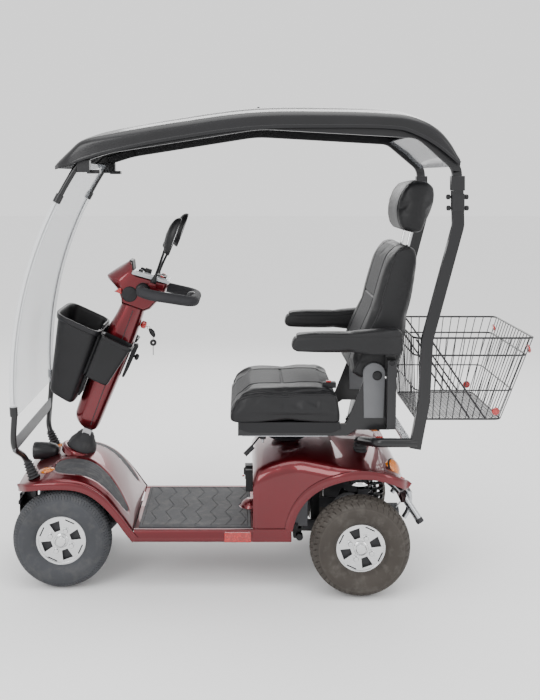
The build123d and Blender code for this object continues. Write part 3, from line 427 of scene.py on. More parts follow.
class Form:
    """Points and faces of one piece, gathered from its shapes; each face knows the finish it takes."""

    def __init__(self):
        self.points = []
        self.faces = []
        self.kinds = []

    def skin(self, rings, kind=0, caps=True, closed=True, joined=False):
        """Faces between rings of points. Each ring closes on itself, and the last may join the first."""
        start = len(self.points)
        count = len(rings[0])
        for ring in rings:
            self.points += ring
        for i in range(len(rings) if joined else len(rings) - 1):
            for j in range(count if closed else count - 1):
                here, there = start + i * count, start + (i + 1) % len(rings) * count
                nxt = (j + 1) % count
                self.faces.append((here + j, here + nxt, there + nxt, there + j))
                self.kinds.append(kind)
        if caps and closed and not joined:
            last = start + (len(rings) - 1) * count
            self.faces += [tuple(range(start + count - 1, start - 1, -1)), tuple(range(last, last + count))]
            self.kinds += [kind, kind]
        return self

    def tube(self, route, radius, kind=0, sides=12, joined=False):
        """A round bar along a route; the radius, in millimetres, is one number or one for each point."""
        route = [Vector(point) for point in route]
        count = len(route)
        radii = [radius] * count if isinstance(radius, (int, float)) else radius
        rings = []
        across = None
        for n, point in enumerate(route):
            ahead = route[(n + 1) % count] if joined or n + 1 < count else point
            behind = route[n - 1] if joined or n else point
            along = (ahead - behind).normalized()
            across = turned(along)[0] if across is None else (across - along * across.dot(along)).normalized()
            other = along.cross(across)
            reach = radii[n] / 1000
            rings.append([point + across * (reach * cos(2 * pi * k / sides)) + other
                          * (reach * sin(2 * pi * k / sides)) for k in range(sides)])
        return self.skin(rings, kind, joined=joined)

    def lathe(self, origin, axis, profile, kind=0, sides=40, joined=False):
        """A turned shape: its profile is pairs of radius and height along the axis, in millimetres."""
        axis = Vector(axis).normalized()
        rings = [circle(origin + axis * (height / 1000), axis, max(radius, 0.01) / 1000, sides)
                 for radius, height in profile]
        return self.skin(rings, kind, joined=joined)

    def plate(self, outline, low, high, place, kind=0):
        """An outline of (x, z) points between two y values, put in place by a mark."""
        return self.skin([[place(x, y, z) for x, z in outline] for y in (low, high)], kind)

    def slab(self, low, high, place, kind=0):
        """A plain bar between two opposite corners, given to a mark."""
        outline = [(low[0], low[2]), (high[0], low[2]), (high[0], high[2]), (low[0], high[2])]
        return self.plate(outline, low[1], high[1], place, kind)

    def mesh(self, name, finishes, angle=35.0):
        data = bpy.data.meshes.new(name)
        data.from_pydata([tuple(point) for point in self.points], [], self.faces)
        for finish in finishes.split():
            data.materials.append(FINISHES[finish].material)
        data.polygons.foreach_set("material_index", self.kinds)
        shape = bmesh.new()
        shape.from_mesh(data)
        bmesh.ops.recalc_face_normals(shape, faces=shape.faces)
        shape.to_mesh(data)
        shape.free()
        data.shade_smooth()
        data.set_sharp_from_angle(angle=radians(angle))
        return data

    def make(self, name, body, finishes, slot, replaces=(), bevel=0.0, steps=3, angle=35.0):
        """The finished piece: its body, finishes, CAD nodes and rounded edges in millimetres; the slot is not
        used.
        """
        piece = bpy.data.objects.new(name, self.mesh(name, finishes, angle))
        bpy.context.scene.collection.objects.link(piece)
        if bevel:
            soften(piece, bevel, steps)
        return settle(piece, body, replaces)


def soften(piece, bevel, steps=3):
    """Rounded edges."""
    edge = piece.modifiers.new("rounded_edges", "BEVEL")
    edge.width = bevel / 1000
    edge.segments = steps
    edge.limit_method = "ANGLE"
    edge.angle_limit = radians(32)
    edge.harden_normals = True


def settle(piece, body, replaces=()):
    """Put a piece on its body and hide the CAD nodes it stands for."""
    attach(piece, body)
    if replaces:
        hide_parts(*replaces)
    return piece


def dress(node, finish, bevel=0.0):
    """Give a CAD node its finish, and rounded edges where it wants them."""
    piece = frame["nodes"][node]
    piece.data.materials.clear()
    piece.data.materials.append(finish.material)
    if bevel:
        weld = piece.modifiers.new("weld", "WELD")
        weld.merge_threshold = 0.00002
        soften(piece, bevel, 2)


FINISHES = {}


class Maker:
    """What every operator of this add-on shares."""
    bl_options = {"REGISTER", "UNDO"}

    def execute(self, context):
        self.build(context.scene.scooter_colours, context.scene.scooter_sizes)
        return {"FINISHED"}


class SCOOTER_OT_finishes(Maker, bpy.types.Operator):
    """Make the finishes of every piece"""
    bl_idname = "scooter.finishes"
    bl_label = "Finishes"

    def build(self, colours, sizes):
        FINISHES.update(make_finishes(colours))


class SCOOTER_OT_stage(Maker, bpy.types.Operator):
    """Make the pale floor, the soft studio light and the camera"""
    bl_idname = "scooter.stage"
    bl_label = "Stage"

    def build(self, colours, sizes):
        scene = bpy.context.scene
        FINISHES["floor"] = floor = Finish("studio_floor")
        floor.set(Base_Color=floor.between((0.93, 0.93, 0.93), (0.95, 0.95, 0.95), floor.noise(2.0)),
                  Roughness=floor.noise(30.0) * 0.1 + 0.75)
        form = Form()
        reach = 30.0
        rows = [[Vector((x, y, -0.0005)) for y in spread(-reach, reach, 3)] for x in spread(-reach, reach, 3)]
        form.skin(rows, closed=False)
        ground = bpy.data.objects.new("studio_floor", form.mesh("studio_floor", "floor"))
        scene.collection.objects.link(ground)

        world = bpy.data.worlds.new("studio")
        world.use_nodes = True
        sky = world.node_tree.nodes["Background"]
        sky.inputs["Color"].default_value = (1.0, 1.0, 1.0, 1.0)
        sky.inputs["Strength"].default_value = 1.35
        scene.world = world

        for name, place, aim, width, height, power in (
            ("overhead_softbox", (0.1, -0.3, 3.6), (0, 0, 0.6), 3.2, 2.2, 60.0),
            ("key_softbox", (-2.2, -3.2, 2.6), (-0.1, 0, 0.6), 1.6, 2.2, 65.0),
            ("fill_softbox", (2.8, -2.6, 1.6), (0.1, 0, 0.6), 1.4, 2.0, 30.0),
            ("back_softbox", (0.4, 3.4, 2.4), (0, 0, 0.7), 3.0, 1.6, 45.0),
        ):
            lamp = bpy.data.lights.new(name, "AREA")
            lamp.shape = "RECTANGLE"
            lamp.size, lamp.size_y, lamp.energy = width, height, power
            holder = bpy.data.objects.new(name, lamp)
            holder.location = place
            holder.rotation_euler = (Vector(aim) - Vector(place)).to_track_quat("-Z", "Y").to_euler()
            scene.collection.objects.link(holder)

        view = bpy.data.cameras.new("camera")
        view.lens = 48.48
        view.sensor_width = 36.0
        view.shift_x = 0.040
        view.shift_y = -0.129
        camera = bpy.data.objects.new("camera", view)
        camera.location = (REAR_AXLE.x - 0.3865, -3.272, 1.3666)
        camera.rotation_euler = (radians(85.0), 0.0, 0.0)
        scene.collection.objects.link(camera)
        scene.camera = camera


class SCOOTER_OT_frame_finishes(Maker, bpy.types.Operator):
    """Give the CAD nodes that stay their finishes and rounded edges"""
    bl_idname = "scooter.frame_finishes"
    bl_label = "Frame Finishes"

    def build(self, colours, sizes):
        for node, finish, bevel in (("chassis_frame", "powder", 2.0), ("battery_pack", "battery", 4.0),
                                    ("transaxle", "dark_metal", 1.5), ("drive_motor", "dark_metal", 2.0),
                                    ("left_steering_knuckle", "steel", 1.0),
                                    ("right_steering_knuckle", "steel", 1.0), ("tie_rod", "steel", 0.0),
                                    ("steering_column", "steel", 0.0), ("seat_post", "steel", 1.0),
                                    ("canopy_masts", "powder", 3.0), ("canopy_rails", "powder", 3.0),
                                    ("cross_brace", "silver", 1.5), ("handlebar", "foam", 0.0),
                                    ("control_console", "console", 2.5), ("seat_frame", "powder", 2.0),
                                    ("seat_rail", "silver", 1.0), ("seat_lever", "plastic", 0.0),
                                    ("charge_socket", "plastic", 2.0), ("front_bumper", "plastic", 1.0),
                                    ("rear_bumper", "silver", 0.0),):
            dress(node, FINISHES[finish], bevel)


# ---------------------------------------------------------------- wheels
TYRE_PROFILE = ((0, 80, -0.62), (1, 94, -0.88), (2, 117, -1.0), (3, 139, -0.93), (4, 153, -0.74),
                (5, 161.5, -0.42), (6, 165, 0), (7, 161.5, 0.42), (8, 153, 0.74), (9, 139, 0.93),
                (10, 117, 1.0), (11, 94, 0.88), (12, 80, 0.62))
SIDEWALL_RIBS = (90.0, 99.0, 126.0)


def in_groove(turn, across, blocks, rows, slant):
    """Whether a place on the tread, a share of a turn and of the half width, is in a groove."""
    row = (across + 0.92) / 1.84 * rows
    if not 0 <= row <= rows:
        return False
    along = (turn * blocks + 0.5 * (int(row) % 2) + slant * abs(across)) % 1
    return along < 0.17 or not 0.12 < row % 1 < 0.88


def tyre(name, body, x, y, half, finish, tread, depth, outward):
    """A balloon tyre with a cut tread and ribs on its walls."""
    blocks, rows, slant, sides = tread
    form = Form()
    rings = []
    for n in range(sides):
        angle = 2 * pi * n / sides
        ring = []
        for step in spread(0, 12, 73):
            radius, across = follow(TYRE_PROFILE, step)
            bulge = sum(0.7 for rib in SIDEWALL_RIBS if abs(radius - rib) < 1.4)
            if radius > 130 and in_groove(n / sides, across, blocks, rows, slant):
                radius -= depth * 1000 * min(1.0, (radius - 130) / 14)
            ring.append(Vector((x + radius / 1000 * cos(angle), y + across * (half + bulge) / 1000,
                                FRONT_AXLE.z + radius / 1000 * sin(angle))))
        rings.append(ring)
    form.skin(rings, joined=True)
    form.make(f"{name}_tread", body, finish, "tyre_rubber", [f"{name}_tyre"], angle=42)
    trim = Form()
    middle = Vector((x, y, FRONT_AXLE.z))
    out = Vector((0, outward, 0))
    # a black rubber disc fills the rim behind its windows: it stands for the hub, and its black paints the
    # shade inside the wheel
    trim.lathe(middle, out, [(73, -14), (75, -14), (75, 14), (74, 15), (12, 15), (12, -14)], 1, 48,
               joined=True)
    trim.lathe(middle, out, [(75.5, 28), (80.5, 33.5), (83, 33), (83, 29), (79, 27.5)], 0, 72, joined=True)
    trim.lathe(middle, out, [(24, 29.5), (24, 33), (21, 35.5), (18, 36), (17.5, 42), (15, 44.5), (0, 45.5)],
               0, 40)
    for n in range(4):
        spoke = radians(65 + 90 * n)
        at = middle + Vector((cos(spoke) * outward * -0.038, 0, sin(spoke) * 0.038))
        trim.lathe(at, out, [(11, 29.5), (11, 31), (8.4, 31.5), (8.4, 38), (7, 40), (0, 41)], 0, 18)
    trim.make(f"{name}_wheel_trim", body, "alloy rubber", "wheel_alloy")
    dress(f"{name}_rim", FINISHES["alloy"], 1.2)


class SCOOTER_OT_wheels(Maker, bpy.types.Operator):
    """Make the treaded tyres and the trim of the four wheels"""
    bl_idname = "scooter.wheels"
    bl_label = "Wheels"

    def build(self, colours, sizes):
        for side_name, side in SIDES:
            tyre(f"front_{side_name}", f"front_{side_name}_wheel", FRONT_AXLE.x, side * FRONT_WHEEL_Y / 1000,
                 50, "front_tyre", (96, 7, 0.9, 576), sizes.tread_depth * 0.7, side)
            tyre(f"rear_{side_name}", f"rear_{side_name}_wheel", REAR_AXLE.x, side * REAR_WHEEL_Y / 1000, 59,
                 "rear_tyre", (46, 5, 1.4, 552), sizes.tread_depth, side)


# ---------------------------------------------------------------- body panels
# rows of the vaults: x from the axle, half width, bottom, edge and crown above the axles
COWL = ((-150, 190, 155, 172, 182), (-110, 230, 168, 190, 206), (-30, 240, 176, 202, 231),
        (45, 240, 173, 199, 240), (95, 240, 156, 183, 230), (140, 240, 122, 154, 196),
        (180, 240, 76, 112, 143), (210, 240, 34, 72, 92), (238, 240, -3, 33, 42))
SHROUD = ((-350, 230, 40, 208, 226), (-335, 236, 40, 228, 250), (-265, 236, 40, 256, 282),
          (-205, 240, 40, 268, 292), (-150, 262, 40, 266, 294), (-76, 292, 40, 260, 291),
          (7, 300, 40, 254, 288), (75, 300, 60, 246, 283), (105, 292, 100, 236, 272),
          (128, 280, 140, 220, 252), (146, 264, 162, 196, 222), (158, 244, 172, 182, 194))
ARCH_X = 8.0                # middle of the rear wheel arch
ARCH_R = 231.0
PANEL = 4.0                 # thickness of the plastic panels


def vault_ring(x, half, bottom, edge, crown, corner, sink=None):
    """Outline of one cross section, as (y, z) from the right foot over the crown to the left foot."""
    corner = min(corner, 0.7 * (edge - bottom))

    def top(y):
        return edge + (crown - edge) * (1 - (y / half) ** 2)

    right = [(half, bottom + (edge - corner - bottom) * n / 4) for n in range(4)]
    for n in range(9):
        turn = pi / 2 * n / 8
        y = half - corner + corner * cos(turn)
        right.append((y, top(y) - corner + corner * sin(turn)))
    for n in range(1, 28):
        y = (half - corner) * (1 - n / 28)
        right.append((y, top(y)))
    if sink:
        right = [(y, z - sink(x, y)) for y, z in right]
    return right + [(0, top(0) - (sink(x, 0) if sink else 0))] + [(-y, z) for y, z in reversed(right)]


def vault(form, mark, stations, ring_at, kind=0, closed_ends=(True, True)):
    """A thin panel over cross sections, with its inner face and the walls at its ends."""
    rings = []
    for x in stations:
        outer = ring_at(x)
        inner = [(y * (1 - PANEL / max(abs(outer[0][0]), 1)),
                  z - (PANEL if n not in (0, len(outer) - 1) else 0)) for n, (y, z) in enumerate(outer)]
        rings.append([mark(x, y, z) for y, z in outer + inner[::-1]])
    form.skin(rings, kind)
    for end, closed in zip((0, -1), closed_ends):
        if closed:
            count = len(rings[end]) // 2
            wall = [rings[end][:count], [point + Vector((0.003 if end == 0 else -0.003, 0, 0))
                                         for point in rings[end][:count]]]
            form.skin(wall, kind)


def lip(form, mark, line, width, height, side_at, kind=0, closed=True):
    """A raised band along the rim of a panel: line is (x, z) points; side_at gives y for x and z."""
    for side in (-1, 1):
        rings = []
        for n, (x, z) in enumerate(line):
            ahead, behind = line[min(n + 1, len(line) - 1)], line[max(n - 1, 0)]
            run = sqrt((ahead[0] - behind[0]) ** 2 + (ahead[1] - behind[1]) ** 2)
            up_x, up_z = -(ahead[1] - behind[1]) / run, (ahead[0] - behind[0]) / run
            ring = []
            for reach, out in ((-1.5, -3.0), (-2.0, height * 0.7), (width * 0.12, height),
                               (width * 0.5, height * 1.1), (width * 0.88, height * 0.8), (width, 0.0),
                               (width, -3.0)):
                px, pz = x + up_x * reach, z + up_z * reach
                ring.append(mark(px, side * (side_at(px, pz) + out), pz))
            rings.append(ring)
        form.skin(rings, kind)


MAT_START, MAT_END = -38.0, 216.0
MAT_INNER, MAT_OUTER = 62.0, 196.0


def mat_reach(x):
    """Half width of a cowl mat's channel at x, and its middle; nothing outside its ends."""
    share = (x - MAT_START) / (MAT_END - MAT_START)
    if not 0 < share < 1:
        return 0.0, 0.0
    inner = MAT_INNER + 62 * share
    ends = (1 - abs(2 * share - 1) ** 5) ** 0.4
    return (MAT_OUTER - inner) / 2 * ends, (MAT_OUTER + inner) / 2


def cowl_sink(x, y):
    """Depth of the two mat channels below the cowl's skin, less the swell of the rib between them."""
    half, middle = mat_reach(x)
    if half <= 0:
        return 0.0
    away = (half - abs(abs(y) - middle)) / 6
    rim = max(0.0, 1 - abs(away + 0.9) / 1.1) * 2.2
    return max(0.0, min(1.0, away)) * 5.0 - rim


def cowl_top(x, y):
    half, bottom, edge, crown = follow(COWL, x)
    return edge + (crown - edge) * (1 - (y / half) ** 2)


class SCOOTER_OT_front_body(Maker, bpy.types.Operator):
    """Make the red front cowl with its rubber mats and the bumper"""
    bl_idname = "scooter.front_body"
    bl_label = "Front Body"

    def build(self, colours, sizes):
        form = Form()
        stations = spread(-150, 238, 98)
        vault(form, front, stations, lambda x: vault_ring(x, *follow(COWL, x), 26, cowl_sink), 0,
              (True, False))
        bottom = [(x, follow(COWL, x)[1]) for x in spread(-146, 240, 60)]
        lip(form, front, bottom, 22, 3.0, lambda x, z: follow(COWL, x)[0])
        # collar round the steering boot, then a dark rubber sheet below the cowl: the wheel housing, in black
        # to paint the shade under the cowl
        collar = tiller(0, 0, -66)
        form.lathe(collar, TILLER_UP, [(50, -26), (64, -22), (68, -6), (66, 2), (60, 6), (54, 5), (52, -2)],
                   0, 56, joined=True)
        for side in (-1, 1):
            rows = []
            for x in spread(-140, 226, 40):
                half, low, edge, crown = follow(COWL, x)
                rows.append([front(x, side * (half - 8), low + 6), front(x, side * (half - 60), low + 14),
                             front(x, side * 112, low + 16), front(x, side * 100, low - 26)])
            form.skin(rows, 1, closed=False)
        form.make("front_cowl_panel", "chassis", "paint rubber", "red_body", ["front_cowl"], angle=50)

        mats = Form()
        for side in (-1, 1):
            rings = []
            for x in spread(MAT_START + 3, MAT_END - 3, 70):
                half, middle = mat_reach(x)
                half = max(half - 3.5, 0.5)
                ring = []
                for share in spread(-1, 1, 24):
                    y = middle + share * half
                    ribbed = 0.8 if (share * half) % 11 < 3 and abs(share) < 0.9 else 0.0
                    round_off = 2.2 * abs(share) ** 12
                    ring.append(front(x, side * y, cowl_top(x, y) - 0.9 - ribbed - round_off))
                for share in (1, -1):
                    y = middle + share * half
                    ring.append(front(x, side * y, cowl_top(x, y) - 5.6))
                rings.append(ring)
            mats.skin(rings)
        mats.make("cowl_mats", "chassis", "mat", "black_rubber", angle=30)

        nose = Form()
        nose.slab((-172, -70, 46), (-150, 70, 60), front)
        nose.slab((-176, -88, 70), (-164, 88, 84), front)
        for side in (-1, 1):
            nose.slab((-176, side * 60 - 8, 30), (-168, side * 60 + 8, 104), front)
        nose.make("front_bumper_ribs", "chassis", "plastic", "black_plastic", bevel=3)


class SCOOTER_OT_floor(Maker, bpy.types.Operator):
    """Make the red floor pan, the grooved mat and the side reflectors"""
    bl_idname = "scooter.floor"
    bl_label = "Floor"

    def build(self, colours, sizes):
        low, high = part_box("floor_pan")
        half = high.y * 1000
        start = (low.x - REAR_AXLE.x) * 1000
        end = (high.x - REAR_AXLE.x) * 1000
        pan = Form()
        rings = []
        for x in spread(start, end, 40):
            ring = [(half - 5, -3), (half - 1, -4), (half + 1.5, 0), (half + 1.5, 8), (half, 12),
                    (half - 2, 24), (half - 6, 31), (half - 12, 34), (half - 20, 34), (half - 27, 32.2),
                    (half - 31, 30.4)]
            outer = ring + [(-y, z) for y, z in reversed(ring)]
            inner = [(y * 0.98, min(z, 29) - 3) for y, z in outer]
            rings.append([rear(x, y, z) for y, z in outer + inner[::-1]])
        pan.skin(rings)
        pan.lathe(rear(-354, 0, 29), (0, 0, 1), [(48, 0), (46, 6), (39, 7), (36, 14), (29, 24), (17, 32),
                                                 (0, 35)], 0, 48)
        pan.make("floor_pan_panel", "chassis", "paint", "red_body", ["floor_pan"], angle=40)

        low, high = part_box("floor_mat")
        half = high.y * 1000
        start, end = (low.x - REAR_AXLE.x) * 1000, (high.x - REAR_AXLE.x) * 1000
        mat = Form()
        rings = []
        for x in spread(start, end, 190):
            ring = [rear(x, -half, 31)]
            edge_x = min(x - start, end - x)
            for y in spread(-half, half, 121):
                edge = min(half - abs(y), edge_x)
                height = 37.0 - (2.4 if edge < 1.5 else 0.0)
                chevron = (x - start + 26 - abs(y % 136 - 68) * 0.35) % 52
                if edge > 10 and chevron < 3.6:
                    height -= 1.7
                if 8 < edge < 11:
                    height -= 1.4
                if sqrt((x + 354) ** 2 + y ** 2) < 42:
                    height = 32.5
                ring.append(rear(x, y, height))
            ring.append(rear(x, half, 31))
            rings.append(ring)
        mat.skin(rings)
        mat.make("floor_mat_grooved", "chassis", "mat", "black_rubber", ["floor_mat"], angle=30)

        low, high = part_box("sill_reflectors")
        shine = Form()
        start, end = (low.x - REAR_AXLE.x) * 1000, (high.x - REAR_AXLE.x) * 1000
        for side in (-1, 1):
            inner, outer = sorted((side * high.y * 1000, side * (high.y * 1000 - 6)))
            shine.slab((start, inner, -5), (end, outer, 29), rear)
        shine.make("sill_reflector_lenses", "chassis", "red_lens", "reflector_red", ["sill_reflectors"],
                   bevel=2.2)


def arch_z(x):
    """Height of the rear wheel arch at x."""
    return sqrt(max(0.0, ARCH_R ** 2 - (x - ARCH_X) ** 2))


class SCOOTER_OT_rear_body(Maker, bpy.types.Operator):
    """Make the red rear body over the wheels, its side sills, charging socket and fittings"""
    bl_idname = "scooter.rear_body"
    bl_label = "Rear Body"

    def build(self, colours, sizes):
        def ring_at(x):
            half, bottom, edge, crown = follow(SHROUD, x)
            bottom = max(40.0, arch_z(x)) if x < 105 else max(bottom, arch_z(x))
            return vault_ring(x, half, min(bottom, edge - 8), edge, crown, 40)

        form = Form()
        stations = spread(-350, -221, 30) + [ARCH_X - ARCH_R * cos(radians(a)) for a in spread(9.5, 130.5,
            90)]
        vault(form, rear, stations, ring_at, 0, (True, False))
        band = [(ARCH_X - ARCH_R * cos(radians(a)), ARCH_R * sin(radians(a))) for a in spread(8, 130, 70)]
        lip(form, rear, band, 26, 4.0, lambda x, z: follow(SHROUD, x)[0])
        # side sill ahead of the wheel, below the body
        for side in (-1, 1):
            low, high = sorted((side * 190, side * 241))
            form.slab((-350, low, -3), (-226, high, 40), rear)
        # tail wall under the lamps
        rows = [[rear(x, y, z) for y in spread(-238, 238, 20)] for x,
                z in ((156, 190), (156, 150), (150, 132), (140, 130))]
        form.skin(rows, 0, closed=False)
        # dark rubber sheet inside each wheel arch: its ceiling, in black to paint the shade inside the arch
        for side in (-1, 1):
            rows = []
            for a in spread(4, 136, 40):
                x, z = ARCH_X - (ARCH_R + 3) * cos(radians(a)), (ARCH_R + 3) * sin(radians(a))
                reach = follow(SHROUD, x)[0]
                top = follow(SHROUD, x)[2] - 6
                rows.append([rear(x, side * (reach - 5), min(z, top)), rear(x, side * 188, min(z, top)),
                             rear(x, side * 186, min(z, top) - 14)])
            form.skin(rows, 1, closed=False)
        form.make("rear_body_panel", "chassis", "paint rubber", "red_body", ["rear_shroud"], angle=48)

        fittings = Form()
        fittings.slab((-376, -62, 152), (-350, -28, 200), rear)
        fittings.slab((-374, -100, 120), (-350, -84, 196), rear)
        fittings.lathe(rear(-376, -45, 176), (-1, 0, 0), [(13, -3), (13, 3), (10, 5), (10, 2), (0, 2)], 0, 28)
        fittings.tube([rear(-378, -45, 160), rear(-386, -45, 158)], 3, 1, 10)
        fittings.make("charge_socket_cover", "chassis", "plastic red_lens", "black_plastic",
                      ["charge_socket"], bevel=2)
        caps = Form()
        for side in (-1, 1):
            route = [(80, 115, 228.5), (84, 115, 190), (150, 130, 140), (217, 170, 40)]
            line = rounded([rear(x, side * y, z) for x, y, z in route], 40)
            caps.tube(line, 12, 0, 20)
            caps.lathe(rear(217, side * 170, 40), line[-1] - line[-2],
                       [(12.6, -12), (13.2, -11), (13.2, 1), (11, 4), (0, 4.5)], 1, 24)
            inner = rounded([rear(150, side * 118, 170), rear(190, side * 118, 128),
                             rear(186, side * 128, 70), rear(168, side * 128, 40)], 60)
            caps.tube(inner, 9, 0, 16)
        caps.tube([rear(183.5, -150, 90), rear(183.5, 150, 90)], 7, 0, 14)
        caps.tube([rear(120, -250, 118), rear(176, -120, 116), rear(176, 120, 116), rear(120, 250, 118)], 2.5,
                  0, 8)
        caps.make("rear_bumper_tubes", "chassis", "silver rubber", "silver_frame", ["rear_bumper"])


class SCOOTER_OT_suspension(Maker, bpy.types.Operator):
    """Make the coil springs, shock absorbers and swing arm covers"""
    bl_idname = "scooter.suspension"
    bl_label = "Suspension"

    def build(self, colours, sizes):
        low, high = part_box("shock_springs")
        coils = Form()
        shocks = Form()
        for side in (-1, 1):
            centre = Vector(((low.x + high.x) / 2, side * (high.y - 0.026), 0))
            turns, top, foot = 9, high.z - 0.006, low.z + 0.006
            line = []
            for n in range(turns * 20 + 1):
                share = n / (turns * 20)
                line.append(centre + Vector((0.0218 * cos(2 * pi * turns * share),
                                             0.0218 * sin(2 * pi * turns * share),
                                             foot + (top - foot) * share)))
            coils.tube(line, sizes.spring_wire * 1000, 0, 10)
            base = centre + Vector((0, 0, high.z))
            shocks.lathe(base, (0, 0, -1), [(17, 8), (18, 12), (18, 84), (15, 88), (13, 92), (13, 104)], 0,
                         36)
            shocks.lathe(base, (0, 0, -1), [(30, 0), (31, 3), (29, 7), (20, 12), (13, 13)], 0, 36)
        springs = coils.make("rear_coil_springs", "chassis", "powder", "black_frame", ["shock_springs"])
        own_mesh(springs)
        shocks.make("shock_absorber_bodies", "chassis", "chrome", "chrome_trim", ["shock_absorbers"])
        brackets = Form()
        for side in (-1, 1):
            inner, outer = sorted((side * 150, side * 196))
            brackets.slab((-228, inner, 20), (-196, outer, 50), rear)
            brackets.slab((-214, inner, -8), (-186, outer, 26), rear)
            brackets.tube([rear(-194, side * 186, 2), rear(-194, side * 214, 2)], 12, 0, 20)
        brackets.make("step_brackets", "chassis", "plastic", "black_frame", bevel=3)
        domes = Form()
        for side in (-1, 1):
            domes.lathe(rear(2, side * 225, 196), (0, 0, 1), [(30, -8), (34, -4), (34, 4), (28, 15), (17, 24),
                                                              (8, 28), (0, 29)], 0, 36)
        domes.make("damper_caps", "chassis", "chrome", "chrome_trim")


def bellows(form, foot, axis, height, low_r, high_r, folds, kind=0):
    """A concertina sleeve."""
    profile = [(low_r * 0.8, 0)]
    for n in range(folds * 4 + 1):
        share = n / (folds * 4)
        fold = (0.0, 1.0, 0.0, -1.0)[n % 4] * 2.4
        profile.append((low_r + (high_r - low_r) * share + fold, height * share))
    profile.append((high_r * 0.8, height))
    form.lathe(foot, axis, profile, kind, 36)


class SCOOTER_OT_boots(Maker, bpy.types.Operator):
    """Make the rubber boots and bellows"""
    bl_idname = "scooter.boots"
    bl_label = "Boots"

    def build(self, colours, sizes):
        form = Form()
        for side in (-1, 1):
            bellows(form, rear(-1083, side * 188, 199), (-0.364, 0, 0.931), 62, 19, 13, 6)
            bellows(form, rear(14, side * 140, 262), (0, 0, 1), 60, 25, 17, 5)
        form.lathe(rear(-227, 0, 290), (0, 0, 1), [(66, 0), (68, 3), (62, 6), (52, 12), (42, 24), (36, 36),
                                                   (31, 40)], 0, 48)
        form.lathe(tiller(0, 0, 0), TILLER_UP, [(51, -68), (51.5, -60), (51, -50), (47, -36), (39, -24),
                                                (33, -16), (31, -10), (27, -6), (24, 0)], 0, 56)
        form.make("rubber_boot_sleeves", "chassis", "rubber", "black_rubber", ["rubber_boots"], angle=60)


class SCOOTER_OT_lamps(Maker, bpy.types.Operator):
    """Make the headlight, indicators, tail lamp and corner reflectors"""
    bl_idname = "scooter.lamps"
    bl_label = "Lamps"

    def build(self, colours, sizes):
        low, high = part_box("headlight_housing")
        middle = (low + high) / 2
        nose = Vector((low.x, 0, middle.z))
        shell = Form()
        shell.lathe(nose, (1, 0, 0), [(25, 6), (29, 0), (30.5, 2), (31, 8), (30.5, 30), (29, 60), (24, 78),
                                      (14, 88), (0, 91)], 0, 48)
        shell.slab((-112, -16, 182), (-60, 16, 214), front)
        shell.make("headlight_shell", "chassis", "satin", "black_plastic", ["headlight_housing"], bevel=2)
        glass = Form()
        glass.lathe(nose, (-1, 0, 0), [(27, -4), (27, 0), (22, 4), (12, 7), (0, 8)], 0, 48)
        glass.make("headlight_glass", "chassis", "clear_lens", "lens_clear", ["headlight_lens"])

        lenses = Form()
        for side in (-1, 1):
            at = front(-58, side * 151, 207)
            rings = []
            for radius, height in ((25, -8), (25.5, 0), (25, 5), (22, 9), (15, 12.5), (7, 14), (0.1, 14.3)):
                rings.append([at + Vector((radius * 1.12 * cos(t) / 1000, radius * 0.9 * sin(t) / 1000,
                                           (height + radius * 0.10 * cos(t)) / 1000))
                              for t in (2 * pi * n / 36 for n in range(36))])
            lenses.skin(rings)
            out = Vector((0.75, side * 0.45, 0.5)).normalized()
            lenses.lathe(rear(112, side * 224, 243), out, [(28, -12), (29, 6), (27, 11), (20, 15.5), (10, 18),
                                                           (0, 18.6)], 0, 40)
            lenses.lathe(rear(143, side * 232, 203), out, [(15, -6), (15, 5), (12, 7), (0, 8)], 1, 4)
        lenses.slab((82, -34, 274), (108, 34, 297), rear, 1)
        lenses.make("signal_lamp_lenses", "chassis", "amber red_lens", "lens_amber", ["signal_lenses"],
                    bevel=1.5)
        rims = Form()
        for side in (-1, 1):
            out = Vector((0.75, side * 0.45, 0.5)).normalized()
            rims.lathe(rear(112, side * 224, 243), out, [(29, 2), (31.5, 2), (32, 6), (30.5, 8), (29, 7)], 0,
                       40, joined=True)
        rims.make("rear_lamp_rims", "chassis", "plastic", "black_plastic")


# ---------------------------------------------------------------- canopy and windscreen
ROOF = ((-975, 296, 1229, 1238, 1249), (-960, 312, 1231, 1252, 1266), (-930, 327, 1238, 1278, 1296),
        (-887, 336, 1254, 1312, 1336), (-795, 340, 1280, 1333, 1364), (-600, 340, 1318, 1366, 1400),
        (-362, 340, 1350, 1397, 1432), (-130, 340, 1356, 1401, 1436), (101, 340, 1350, 1392, 1428),
        (170, 339, 1326, 1376, 1410), (224, 338, 1294, 1346, 1376), (262, 336, 1264, 1306, 1328),
        (291, 335, 1240, 1258, 1273))


def roof_sink(x, y):
    """The two long valleys of the roof, shallow at its ends."""
    share = max(0.0, 1 - abs((x + 350) / 560) ** 4)
    return 7.0 * share * max(0.0, 1 - abs((abs(y) - 210) / 46) ** 2)


